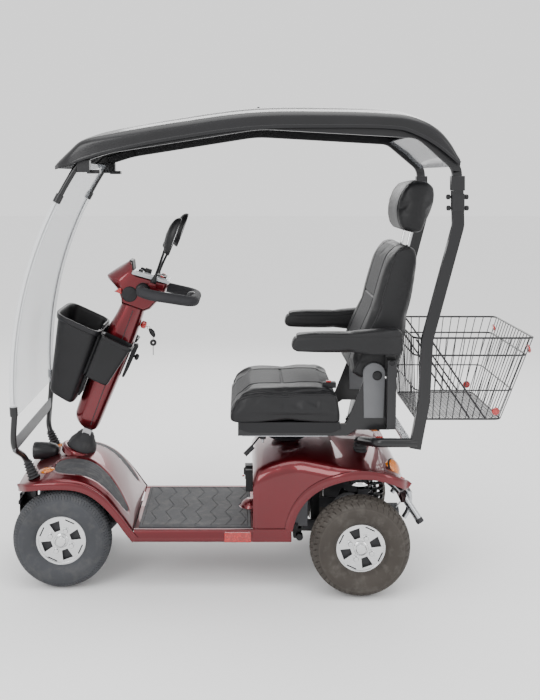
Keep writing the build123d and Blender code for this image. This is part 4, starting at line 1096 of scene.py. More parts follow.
class SCOOTER_OT_canopy(Maker, bpy.types.Operator):
    """Make the canopy roof, its mast fittings and clamp knobs"""
    bl_idname = "scooter.canopy"
    bl_label = "Canopy"

    def build(self, colours, sizes):
        form = Form()
        stations = spread(-975, 291, 150)
        vault(form, rear, stations, lambda x: vault_ring(x, *follow(ROOF, x), 20, roof_sink), 0,
              (True, False))
        line = [(x, follow(ROOF, x)[1]) for x in spread(-968, 288, 110)]
        lip(form, rear, line, 9, 1.6, lambda x, z: follow(ROOF, x)[0] - 1)
        form.make("canopy_roof_shell", "chassis", "canopy", "black_plastic", ["canopy_roof"], angle=50)

        fittings = Form()
        for side in (-1, 1):
            # splice sleeve where each mast takes its rail, and the bolts that clamp them
            for low, high, grow in ((1160, 1206, 3.0), (1096, 1150, 1.5)):
                middle_x = 291 if low > 1150 else 293
                inner, outer = sorted((side * (289 - grow), side * (311 + grow)))
                outline = [(middle_x - 18 - grow, low), (middle_x + 18 + grow, low),
                           (middle_x + 17 + grow, high), (middle_x - 19 - grow, high)]
                fittings.plate(outline, inner, outer, rear)
            for x in (-860, -331, 120):
                half, bottom, edge, crown = follow(ROOF, x)
                fittings.slab((x - 18, side * 312 - 10, bottom + 12), (x + 18, side * 312 + 10, bottom + 20),
                              rear)
        fittings.lathe(rear(-330, 0, 1428), (0, 0, 1), [(9, 0), (9, 5), (5, 7), (5, 12), (3, 14), (0, 14.5)],
                       0, 20)
        fittings.make("canopy_fittings", "chassis", "powder", "black_frame", bevel=2.5)

        knobs = Form()
        for side in (-1, 1):
            for height in (1105, 1140):
                x = 295 - (height - 1051) * 5 / 109
                for out in (-1, 1):
                    start = rear(x + out * 18.6, side * 300, height)
                    knobs.lathe(start, (out, 0, 0), [(4, 0), (4, 4), (7.5, 5), (8.2, 8), (8.2, 13), (6, 16),
                                                     (0, 17)], 0, 18)
        knobs.make("clamp_knob_heads", "chassis", "plastic", "black_plastic", ["clamp_knobs"])


SCREEN_TOP, SCREEN_MIDDLE, SCREEN_FOOT = (-897, 1247), (-1066, 890), (-1118, 428)


def screen_point(share):
    """A place on the windscreen's arc, from its top at 0 to its foot at 1, as (x, z)."""
    (ax, az), (bx, bz), (cx, cz) = SCREEN_TOP, SCREEN_MIDDLE, SCREEN_FOOT
    d = 2 * (ax * (bz - cz) + bx * (cz - az) + cx * (az - bz))
    squares = [x * x + z * z for x, z in (SCREEN_TOP, SCREEN_MIDDLE, SCREEN_FOOT)]
    ux = (squares[0] * (bz - cz) + squares[1] * (cz - az) + squares[2] * (az - bz)) / d
    uz = (squares[0] * (cx - bx) + squares[1] * (ax - cx) + squares[2] * (bx - ax)) / d
    radius = sqrt((ax - ux) ** 2 + (az - uz) ** 2)
    start, end = atan2(az - uz, ax - ux), atan2(cz - uz, cx - ux)
    if end < start:
        end += 2 * pi
    turn = start + (end - start) * share
    return ux + radius * cos(turn), uz + radius * sin(turn)


class SCOOTER_OT_windscreen(Maker, bpy.types.Operator):
    """Make the curved windscreen, its uprights, legs and cross plate"""
    bl_idname = "scooter.windscreen"
    bl_label = "Windscreen"

    def build(self, colours, sizes):
        def along(first, last, y, count=40):
            return [rear(x, y, z) for x, z in (screen_point(share) for share in spread(first, last, count))]

        sheet = Form()
        rings = []
        for share in spread(0, 1, 60):
            x, z = screen_point(share)
            ring = [rear(x - 1.5, y, z) for y in spread(-287, 287, 9)] + [rear(x + 1.5, y, z)
                for y in spread(287, -287, 9)]
            rings.append(ring)
        sheet.skin(rings)
        outline = [(166, 1335), (222, 1293), (284, 1237), (283, 1234.5), (221, 1290.5), (165, 1332.5)]
        sheet.plate(outline, -288, 288, rear, 1)
        sheet.make("clear_screen_sheets", "chassis", "sheet smoke", "clear_sheet", ["clear_screens"])

        clear = Form()
        posts = Form()
        for side in (-1, 1):
            y = side * 300
            clear.tube(along(0.155, 0.965, y, 60), 10.5, 0, 20)
            posts.tube(along(0.0, 0.16, y, 14), 9.5, 0, 20)
            for low, high in ((0.135, 0.168), (0.955, 0.99)):
                posts.tube(along(low, high, y, 6), 13.0, 0, 20)
            leg = [rear(x, side * across, z) for x, across,
                   z in ((-1117, 300, 440), (-1118, 300, 428), (-1126, 298, 330), (-1112, 188, 272),
                         (-1081.5, 188, 194))]
            posts.tube(rounded(leg, 50), 10, 0, 20)
            x, z = SCREEN_TOP
            posts.slab((x - 6, y - 16, z - 30), (x + 34, y + 16, z + 8), rear, 0)
            posts.slab((x + 20, y - side * 40 - 20, z - 34), (x + 60, y - side * 40 + 20, z - 22), rear, 0)
        # edge strips of the sheet, and the cross plate between the legs
        for side in (-1, 1):
            posts.tube(along(0.17, 0.95, side * 288, 50), 2.6, 0, 8)
        outline = [(-1127, 316), (-1119, 316), (-1116, 330), (-1119, 358), (-1125, 358), (-1128, 345)]
        posts.plate(outline, -292, 292, rear, 1)
        posts.make("windscreen_uprights", "chassis", "powder grey", "black_frame", ["windscreen_frame"],
                   bevel=1.5)
        clear.make("windscreen_edge_tubes", "chassis", "edge", "clear_sheet")


# ---------------------------------------------------------------- wire basket behind the seat
BASKET_FLOOR = (192, 474, 200, 401)     # front x, rear x, half width and height of the floor
BASKET_RIM = (174, 566, 237, 680)


def basket_point(along, across, height):
    """A place on the basket: shares front to back, left -1 to right 1, and floor to rim."""
    x = [low[0] + (low[1] - low[0]) * along for low in (BASKET_FLOOR, BASKET_RIM)]
    half = [BASKET_FLOOR[2], BASKET_RIM[2]]
    z = [BASKET_FLOOR[3], BASKET_RIM[3]]
    return rear(*(low + (high - low) * height for low, high in (x, [across * h for h in half], z)))


class SCOOTER_OT_rear_basket(Maker, bpy.types.Operator):
    """Make the wire basket with its rim, floor mesh, straps and reflectors"""
    bl_idname = "scooter.rear_basket"
    bl_label = "Rear Basket"

    def build(self, colours, sizes):
        wire = sizes.wire * 1000
        form = Form()
        for height, radius in ((1.0, wire * 2.2), (0.79, wire * 1.9), (0.36, wire * 1.5), (0.0, wire * 1.7)):
            corners = [basket_point(a, c, height) for a, c in ((0, -1), (1, -1), (1, 1), (0, 1))]
            corners = [(corners[0] + corners[3]) / 2] + corners + [(corners[0] + corners[3]) / 2]
            loop = rounded([corners[0], corners[1], corners[2], corners[3], corners[4], corners[5]], 26, 6)
            form.tube(loop[:-1], radius, 0, 8, joined=True)
        for n in range(13):
            along = (n + 0.5) / 13
            for across in (-1, 1):
                form.tube([basket_point(along, across, 1), basket_point(along, across, 0)], wire, 0, 6)
        for n in range(15):
            across = (n + 0.5) / 7.5 - 1
            for along in (0, 1):
                form.tube([basket_point(along, across, 1), basket_point(along, across, 0)], wire, 0, 6)
        for n in range(1, 20):
            form.tube([basket_point(n / 20, -1, 0), basket_point(n / 20, 1, 0)], wire * 0.9, 0, 6)
        for n in range(1, 26):
            across = n / 13 - 1
            form.tube([basket_point(0, across, 0), basket_point(1, across, 0)], wire * 0.9, 0, 6)
        for across in (-0.985, 0.985):
            for start, end in (((0.02, 0.98), (0.62, 0.02)), ((0.14, 0.98), (0.80, 0.02))):
                a, b = basket_point(start[0], across, start[1]), basket_point(end[0], across, end[1])
                form.tube([a, b], 3.2, 0, 8)
        form.make("rear_basket_wires", "chassis", "powder", "black_frame", ["rear_basket"], angle=60)
        glow = Form()
        for across in (-1, 1):
            at = basket_point(1.0, across * 0.93, 0.86)
            glow.lathe(at, (1, 0, 0.3), [(14, -2), (14, 3), (12, 5), (0, 6)], 0, 28)
            at = basket_point(0.9, across, 0.10)
            glow.lathe(at, (0, across, 0), [(13, -2), (13, 3), (11, 5), (0, 5.5)], 0, 28)
        glow.make("basket_reflectors", "chassis", "red_lens", "reflector_red")


# ---------------------------------------------------------------- tiller
COVER = ((14, -14, 14, 16), (18, -26, 22, 26), (26, -38, 28, 35), (40, -52, 32, 44), (60, -60, 34, 50),
         (120, -61, 37, 51), (240, -59, 44, 52), (340, -57, 49, 52), (400, -50, 50, 50), (440, -42, 49, 49),
         (482, -37, 47, 47))


def soft_square(front_x, rear_x, half, power, count=56):
    """Outline between a rectangle and an ellipse, as (x, y) points."""
    middle, reach = (front_x + rear_x) / 2, (rear_x - front_x) / 2
    outline = []
    for n in range(count):
        turn = 2 * pi * n / count
        c, s = cos(turn), sin(turn)
        outline.append((middle + reach * abs(c) ** (2 / power) * (1 if c >= 0 else -1),
                        half * abs(s) ** (2 / power) * (1 if s >= 0 else -1)))
    return outline


HEAD = ((-36, 478), (-42, 494), (-74, 522), (-112, 543), (-118, 551), (-112, 561), (-86, 596), (-58, 629),
        (-50, 628), (-36, 596), (-20, 591), (40, 596), (90, 601), (95, 596), (96, 573), (84, 536), (66, 494),
        (48, 478))


class SCOOTER_OT_tiller(Maker, bpy.types.Operator):
    """Make the red tiller cover and head with their trim"""
    bl_idname = "scooter.tiller"
    bl_label = "Tiller"

    def build(self, colours, sizes):
        cover = Form()
        rings = []
        for z in [14, 15, 17, 20, 24, 29, 35, 42, 50] + spread(60, 482, 50):
            front_x, rear_x, half = follow(COVER, z)
            rings.append([tiller(x, y, z) for x, y in soft_square(front_x, rear_x, half, 2.7)])
        cover.skin(rings)
        for side in (-1, 1):
            cover.tube([tiller(6 + z * 0.01, side * (follow(COVER, z)[2] - 0.2), z) for z in spread(40, 470,
                40)], 1.3, 1, 8)
        cover.make("tiller_cover_shell", "tiller", "paint rubber", "red_body", ["tiller_cover"], angle=60)

        head = Form()
        rings = []
        for y in spread(-60, 60, 41):
            edge = (abs(y) / 60) ** 6
            ring = []
            for x, z in HEAD:
                pull = 1 - 0.13 * edge - (0.30 * (abs(y) / 60) ** 2 if x < -60 else 0.0)
                ring.append(tiller(8 + (x - 8) * pull, y, 552 + (z - 552) * (1 - 0.13 * edge)))
            rings.append(ring)
        head.skin(rings)
        head.make("tiller_head_shell", "tiller", "paint", "red_body", ["tiller_head"], bevel=3.0, angle=32)

        trim = Form()
        for side in (-1, 1):
            trim.lathe(tiller(-18, side * 54, 522), (0, side, 0),
                       [(27, 0), (27, 8), (25, 11), (12, 12.5), (0, 13)], 0, 40)
            trim.lathe(tiller(20, side * 54, 551), (0, side, 0), [(25, 0), (25.5, 8), (22, 14), (19, 16)], 0,
                       36)
            trim.plate([(33, 574), (57, 574), (57, 588), (33, 588)], *sorted((side * 54, side * 84)), tiller,
                       2)
            trim.plate([(-72, 512), (-44, 512), (-54, 535)], *sorted((side * 47, side * 56)), tiller, 1)
        trim.plate([(-60, 631), (-48, 632), (-30, 596), (-38, 592)], -40, 40, tiller, 0)
        trim.plate([(-34, 597), (92, 607), (93, 600), (-34, 590)], -57, 57, tiller, 0)
        trim.make("tiller_head_trim", "tiller", "plastic red_lens paint", "black_plastic", bevel=1.6)
        grips = Form()
        for y in (104, -104):
            grips.lathe(tiller(20, y - 2, 551), (0, 1, 0), [(18, 0), (19.2, 0.5), (19.2, 5), (18, 5.5)], 0,
                        36)
        grips.lathe(tiller(185, -9, 577), (0, 1, 0), [(18, 0), (19.5, 1), (19.5, 17), (18, 18)], 0, 36)
        grips.make("handlebar_collars", "tiller", "satin", "black_plastic")


class SCOOTER_OT_controls(Maker, bpy.types.Operator):
    """Make the console fittings, levers, dial and keys"""
    bl_idname = "scooter.controls"
    bl_label = "Controls"

    def build(self, colours, sizes):
        panel = Form()
        panel.plate([(-26, 600), (86, 609), (86, 613), (-26, 605)], -48, 48, tiller, 0)
        panel.plate([(44, 609), (80, 612), (80, 617), (44, 614)], -30, 30, tiller, 1)
        for n in range(4):
            at = tiller(66, -39 + 26 * n, 612)
            panel.lathe(at, TILLER_UP, [(7, 0), (7, 4), (5.5, 6.5), (0, 7)], 2 if n in (0, 3) else 1, 20)
        for side in (-1, 1):
            panel.lathe(tiller(-10, side * 34, 604), TILLER_UP, [(8, 0), (8, 7), (6, 9), (0, 9.5)], 1, 24)
        panel.make("console_fittings", "tiller", "console plastic red_lens", "silver_console", bevel=1.5)

        dial = Form()
        rings = []
        for height, radius in ((606.5, 14), (608, 14), (612, 13), (618, 12.4), (620.5, 11), (621, 0.1)):
            rings.append([tiller(12 + (radius - (0.9 if n % 4 < 2 and 608 <= height < 620 else 0))
                                 * cos(2 * pi * n / 48), (radius - (0.9 if n % 4 < 2 and 608 <= height < 620
                                                                    else 0)) * sin(2 * pi * n / 48), height)
                          for n in range(48)])
        dial.skin(rings)
        dial.plate([(11, 620.6), (24, 620.6), (24, 621.6), (11, 621.6)], -1, 1, tiller, 1)
        dial.make("speed_dial_knob", "speed_dial", "plastic console", "black_plastic", ["speed_dial"],
                  bevel=0.5)

        throttle = Form()
        throttle.lathe(tiller(78, -69, 552), TILLER_UP, [(6, 0), (7, 1), (7, 17), (6, 18)], 0, 24)
        blade = [tiller(78, -72, 561), tiller(80, -96, 561), tiller(84, -121, 562)]
        throttle.tube(rounded(blade, 20), [4.4] * 5 + [5.0] * 6, 0, 14)
        throttle.lathe(tiller(84.2, -121, 562), (0, -1, 0), [(5, -1), (6.2, 2), (6, 5), (3, 7), (0, 7.4)], 0,
                       20)
        throttle.make("throttle_lever_blade", "throttle_lever", "chrome", "chrome_trim", ["throttle_lever"])
        brake = Form()
        brake.lathe(tiller(78, 69, 552), TILLER_UP, [(6, 0), (7, 1), (7, 17), (6, 18)], 0, 24)
        brake.tube(rounded([tiller(78, 72, 561), tiller(79, 92, 561), tiller(78, 110, 561)], 20), 4, 0, 14)
        brake.lathe(tiller(78, 107, 561), (0, 1, 0), [(3, 0), (6, 2), (7, 6), (6, 11), (3, 13.5), (0, 14)], 0,
                    24)
        brake.make("brake_lever_arm", "brake_lever", "plastic", "black_plastic", ["brake_lever"])

        key = Form()
        rings = []
        for x, radius in ((50, 6), (53, 11), (55, 12.5), (64, 12.5), (68, 11.5), (70, 8), (70.5, 0.1)):
            rings.append([tiller(x, (radius + 0.9 * cos(8 * t)) * cos(t),
                                 428 + (radius + 0.9 * cos(8 * t)) * sin(t))
                          for t in (2 * pi * n / 64 for n in range(64))])
        key.skin(rings)
        key.tube([tiller(69, 0, 426), tiller(76, 0, 426)], 2, 1, 12)
        key.make("ignition_key_knob", "ignition_key", "red_lens steel", "reflector_red", ["ignition_key"])

        fob = Form()
        ring = [tiller(80 + 5 * cos(t), 0, 424 + 5 * sin(t)) for t in (2 * pi * n / 24 for n in range(24))]
        fob.tube(ring, 1.1, 1, 8, joined=True)
        leaf = [tiller(82, 0, 421), tiller(88, 0, 419), tiller(97, 0, 413), tiller(106, 0, 404),
                tiller(110, 0, 399)]
        fob.tube(leaf, [2.5, 7.0, 9.5, 7.0, 2.5], 0, 12)
        top = tiller(104, 0, 404)
        line = [top + Vector((0, 0, -0.006)), top + Vector((0, 0, -0.016))]
        fob.tube(line, 1.3, 1, 8)
        bow = top + Vector((0, 0, -0.026))
        fob.lathe(bow + Vector((0, -0.0018, 0)), (0, 1, 0),
                  [(3, 0), (11, 0), (12, 1), (12, 2.6), (11, 3.6), (3, 3.6)], 0, 28, joined=True)
        fob.tube([bow + Vector((0, 0, -0.010)), bow + Vector((0, 0, -0.044))], 1.8, 1, 8)
        fob.make("spare_key_and_fob", "spare_key", "plastic steel", "bare_steel", ["spare_key"])

        tilt = Form()
        outline = [(52, 356), (64, 358), (69, 348), (62, 262), (58, 232), (53, 228), (49, 232), (50, 300)]
        tilt.plate(outline, -12, 12, tiller, 0)
        tilt.lathe(tiller(60, 0, 312), TILLER_BACK, [(4, 0), (4, 8), (10, 10), (12, 14), (11, 20), (6, 23),
                                                     (0, 23.5)], 0, 28)
        tilt.make("tilt_lever_and_knob", "tilt_lever", "plastic", "black_plastic", ["tilt_lever"], bevel=2)


class SCOOTER_OT_mirrors(Maker, bpy.types.Operator):
    """Make the two rear-view mirrors on their bent arms"""
    bl_idname = "scooter.mirrors"
    bl_label = "Mirrors"

    def build(self, colours, sizes):
        for side_name, side in SIDES:
            form = Form()

            def drop(scale, x):
                ring = []
                for n in range(44):
                    turn = 2 * pi * n / 44
                    width = 43 * (1 - 0.24 * max(0.0, -sin(turn)) ** 1.5)
                    ring.append(tiller(x, side * 200 + scale * width * cos(turn),
                                       772 + scale * 65 * sin(turn)))
                return ring

            rings = [drop(0.02, 38)] + [drop(sqrt(1 - (1 - n / 10) ** 2.4), 38 + 30 * n / 10)
                                        for n in range(1, 11)]
            rings += [drop(0.985, 70.0), drop(0.93, 70.0), drop(0.92, 67.5), drop(0.02, 67.5)]
            form.skin(rings, 0)
            glass = [drop(0.92, 67.6), drop(0.915, 68.6), drop(0.5, 68.8), drop(0.02, 68.9)]
            form.skin(glass, 1)
            arm = [tiller(x, side * y, z) for x, y, z in ((45, 72, 600), (46, 76, 640), (50, 176, 720),
                                                          (52, 196, 740))]
            form.tube(rounded(arm, 60), 4.3, 0, 14)
            form.lathe(tiller(45, side * 72, 586.5), TILLER_UP,
                       [(9, 0), (10, 1), (10, 10), (8, 14), (6, 26), (4.5, 30)], 0, 24)
            form.lathe(tiller(46, side * 186, 728),
                       (tiller(52, side * 200, 772) - tiller(46, side * 186, 728)),
                       [(5, 0), (8, 4), (9, 14), (7, 20)], 0, 20)
            form.make(f"{side_name}_mirror_head", f"{side_name}_mirror", "plastic mirror", "black_plastic",
                      [f"{side_name}_mirror"], angle=45)


class SCOOTER_OT_front_basket(Maker, bpy.types.Operator):
    """Make the moulded front basket with its stepped rim and side pockets"""
    bl_idname = "scooter.front_basket"
    bl_label = "Front Basket"

    def build(self, colours, sizes):
        form = Form()

        def bin_ring(share, inset):
            """One level of the front bin: floor at 0, rim at 1."""
            front_x = -165 - 58 * share + inset
            rear_x = -72 + 6 * share - inset
            half = 112 + 36 * share - inset
            slope = 118 + share * 274
            ring = []
            for x, y in soft_square(front_x, rear_x, half, 5.5, 72):
                lean = (x - front_x) / (rear_x - front_x)
                ring.append(tiller(x, y, slope + lean * (-17 * (1 - share) - 14 * share) + (4 if inset else 0)
                                   * (1 - share)))
            return ring

        outer = [bin_ring(0.0, 14), bin_ring(0.0, 5), bin_ring(0.012, 1.5)] + [bin_ring(s, 0)
            for s in spread(0.04, 0.93, 24)]
        rim = [bin_ring(0.935, -4), bin_ring(0.95, -5), bin_ring(0.995, -5), bin_ring(1.0, -3),
               bin_ring(1.0, 2), bin_ring(0.99, 4)]
        inner = [bin_ring(s, 4) for s in spread(0.95, 0.05, 20)] + [bin_ring(0.03, 12)]
        form.skin(outer + rim + inner)

        for side in (-1, 1):
            def pocket_ring(share, inset):
                """One level of a side pocket."""
                front_x = -66 + 6 * share - inset * 0.3
                rear_x = 16 + 38 * share - inset
                z = 214 + 158 * share
                low, high = 58, 118 + 14 * share - inset
                ring = []
                for x, y in soft_square(front_x, rear_x, (high - low) / 2, 6, 60):
                    ring.append(tiller(x, side * ((high + low) / 2 + y), z + (x - front_x) * (-0.10)))
                return ring

            walls = [pocket_ring(0, 10), pocket_ring(0, 3), pocket_ring(0.02, 0.5)]
            walls += [pocket_ring(s, 0) for s in spread(0.05, 0.90, 16)]
            walls += [pocket_ring(0.905, -4), pocket_ring(0.92, -5), pocket_ring(0.99, -5),
                      pocket_ring(1.0, -3), pocket_ring(1.0, 2), pocket_ring(0.97, 4)]
            walls += [pocket_ring(s, 4) for s in spread(0.9, 0.08, 12)]
            form.skin(walls)
            # the web that joins bin and pocket behind the dark gap
            outline = [(-76, 372), (-50, 370), (-58, 240), (-80, 200)]
            form.plate(outline, *sorted((side * 60, side * 100)), tiller)
        # the wall that hooks over the tiller, in front of the red cover
        form.plate([(-68, 392), (-63, 392), (-63, 130), (-70, 130)], -62, 62, tiller)
        form.make("front_basket_shell", "tiller", "plastic", "black_plastic", ["front_basket"], angle=50)


# ---------------------------------------------------------------- seat
class SCOOTER_OT_seat_base(Maker, bpy.types.Operator):
    """Make the seat's hinge covers, bolts, side trim and belt buckle"""
    bl_idname = "scooter.seat_base"
    bl_label = "Seat Base"

    def build(self, colours, sizes):
        form, bolts = Form(), Form()
        for side in (-1, 1):
            # cover over the reclining hinge, with its pivot cap
            outline = [(16, 410)] + [(48 + 36 * cos(t), 560 + 34 * sin(t)) for t in spread(pi, 0, 14)] + [(80,
                410)]
            form.plate(outline, *sorted((side * 206, side * 219)), rear, 0)
            form.lathe(rear(58, side * 217, 552), (0, side, 0), [(16, 0), (16, 3), (13, 6), (6, 7), (0, 7.2)],
                       1, 32)
            form.lathe(rear(101, side * 250, 600), (0, side, 0), [(9, 0), (9, 3), (6, 5), (0, 5.5)], 1, 24)
            # skirt that closes the side of the pan
            outline = [(-396, 372), (-396, 396), (-64, 396), (-60, 372), (-90, 360), (-360, 360)]
            form.plate(outline, *sorted((side * 212, side * 220)), rear, 1)
            for x in (-370, -240, -115):
                bolts.lathe(rear(x, side * 152, 343), (0, 0, 1), [(8, 0), (8, 3), (6, 4.4), (0, 4.6)], 0, 6)
        form.make("seat_hinge_covers", "seat", "grey plastic", "black_plastic", bevel=2.0)
        bolts.make("seat_rail_bolts", "seat_swivel", "steel", "bare_steel")
        belt = Form()
        belt.slab((-118, -176, 500), (-72, -148, 519), rear, 0)
        belt.slab((-106, -170, 518), (-88, -154, 524), rear, 1)
        belt.make("seat_belt_buckle", "seat", "plastic red_lens", "black_plastic", bevel=3.0)


VOXEL = 0.0065              # spacing of the cloth under which a pad swells
TENSION, COMPRESSION, SHEAR, BENDING = 22, 12, 8, 0.6
CLOTH_MASS, CLOTH_QUALITY = 0.25, 5
SEAM_WIDTH = 0.006
STRIP, FAR_SEAM, BACK_STRIP, HEAD_FACE = 0.118, 0.205, 0.108, 0.102     # half widths of the sewn panels
RISING = radians(12)        # lean of the headrest posts
PIPING = 2.6

CUSHION = [(-436, 400), (-434, 440), (-424, 470), (-392, 490), (-340, 500), (-260, 505), (-180, 507),
           (-100, 502), (-58, 496), (-52, 470), (-52, 392), (-424, 391)]
BACKREST = [(-28, 546), (-14, 595), (2, 640), (32, 724), (60, 800), (84, 876), (104, 940), (116, 970),
            (132, 990), (152, 996), (172, 994), (188, 980), (191, 960), (184, 880), (160, 702), (140, 610),
            (122, 552), (100, 530), (2, 528)]
HEADREST = [(131, 1070), (135, 1130), (150, 1165), (172, 1190), (205, 1197), (238, 1194), (258, 1176),
            (263, 1150), (261, 1120), (242, 1066), (216, 1012), (186, 1009), (152, 1018), (138, 1038)]
ARMREST = [(-233, 657), (-228, 682), (-212, 704), (-150, 708), (0, 713), (120, 715), (134, 710), (138, 690),
           (137, 640), (130, 629), (40, 629), (-150, 641), (-218, 646)]


def ring_length(outline):
    """Distances along a closed outline, with its whole length last."""
    total, marks = 0.0, []
    for (ax, az), (bx, bz) in zip(outline, outline[1:] + outline[:1]):
        marks.append(total)
        total += sqrt((bx - ax) ** 2 + (bz - az) ** 2)
    return marks + [total]


def even(outline, count):
    """The same closed outline with evenly spaced points."""
    marks, result, at = ring_length(outline), [], 0
    closed = outline + outline[:1]
    for n in range(count):
        want = marks[-1] * n / count
        while marks[at + 1] < want:
            at += 1
        share = (want - marks[at]) / (marks[at + 1] - marks[at])
        (ax, az), (bx, bz) = closed[at], closed[at + 1]
        result.append((ax + (bx - ax) * share, az + (bz - az) * share))
    return result


def pad(outline, half, middle=0.0, edge=26.0, inset=4.0, across=22):
    """Rings of a soft block: an outline in X and Z carried from one side to the other with rounded ends."""
    points = even(outline, 96)
    cx = sum(x for x, _ in points) / len(points)
    cz = sum(z for _, z in points) / len(points)
    rings = []
    turns = spread(0, pi / 2, 6)
    left = [(-half + edge * (1 - cos(t)), edge * 0.75 * (1 - sin(t))) for t in turns]
    levels = left + [(y, 0.0) for y in spread(-half + edge, half - edge, across)[1:-1]]
    levels += [(-y, pull) for y, pull in reversed(left)]
    for y, pull in levels:
        ring = []
        for x, z in points:
            dx, dz = x - cx, z - cz
            size = max(sqrt(dx * dx + dz * dz), 1e-6)
            grip = (size - pull - inset) / size
            ring.append(rear(cx + dx * grip, middle + y, cz + dz * grip))
        rings.append(ring)
    return rings


def stuffed(form, name, body, sizes, settings):
    """Fill a soft block with air under a stretched cover, so it swells and creases as leather does."""
    finishes, slot, nodes, pressure, cap, low_pin = settings
    obj = form.make(name, body, finishes, slot, nodes, angle=180)
    remesh = obj.modifiers.new("even cloth", "REMESH")
    remesh.mode, remesh.voxel_size, remesh.use_smooth_shade = "VOXEL", VOXEL, True
    bake(obj)
    start = [v.co.copy() for v in obj.data.vertices]
    group = obj.vertex_groups.new(name="held")
    bottom = min(v.z for v in start)
    for index, place in enumerate(start):
        group.add([index], 1.0 if place.z < bottom + low_pin else 0.0, "REPLACE")
    cloth = obj.modifiers.new("cover", "CLOTH")
    cloth.settings.quality = CLOTH_QUALITY
    cloth.settings.mass = CLOTH_MASS
    cloth.settings.tension_stiffness = TENSION
    cloth.settings.compression_stiffness = COMPRESSION
    cloth.settings.shear_stiffness = SHEAR
    cloth.settings.bending_stiffness = BENDING
    cloth.settings.use_pressure = True
    cloth.settings.uniform_pressure_force = pressure
    cloth.settings.vertex_group_mass = "held"
    cloth.settings.effector_weights.gravity = 0
    cloth.collision_settings.use_collision = False
    cloth.point_cache.frame_start, cloth.point_cache.frame_end = 1, sizes.swell_frames
    scene = bpy.context.scene
    for frame_number in range(1, sizes.swell_frames + 1):
        scene.frame_set(frame_number)
    bake(obj)
    scene.frame_set(1)
    for vertex, place in zip(obj.data.vertices, start):
        move = vertex.co - place
        if move.length > cap:
            vertex.co = place + move * (cap / move.length)
    return obj


def bake(obj):
    """Apply every modifier of one object in order."""
    bpy.context.view_layer.update()
    shape = bpy.data.meshes.new_from_object(obj.evaluated_get(bpy.context.evaluated_depsgraph_get()))
    shape.materials.clear()
    for material in obj.data.materials:
        shape.materials.append(material)
    old = obj.data
    obj.modifiers.clear()
    obj.data = shape
    bpy.data.meshes.remove(old)
    for face in obj.data.polygons:
        face.use_smooth = True


def press_lines(obj, lines, depth, width):
    """Sink narrow seams into a swollen cover and leave it one subdivision finer."""
    finer = obj.modifiers.new("finer", "SUBSURF")
    finer.levels = finer.render_levels = 1
    bake(obj)
    obj.data.update()
    for vertex in obj.data.vertices:
        sink = 0.0
        for distance in lines:
            gap = abs(distance(vertex.co, vertex.normal))
            if gap < width:
                sink = max(sink, 0.5 + 0.5 * cos(pi * gap / width))
        if sink:
            vertex.co -= vertex.normal * depth * sink
    obj.data.update()


def cover_middle(obj):
    """The middle of a cover's points."""
    total = Vector()
    for vertex in obj.data.vertices:
        total += vertex.co
    return total / len(obj.data.vertices)


def paint_faces(obj, test, index):
    """Give another finish to the faces that pass a test on their middle and normal."""
    for face in obj.data.polygons:
        if test(face.center, face.normal):
            face.material_index = index


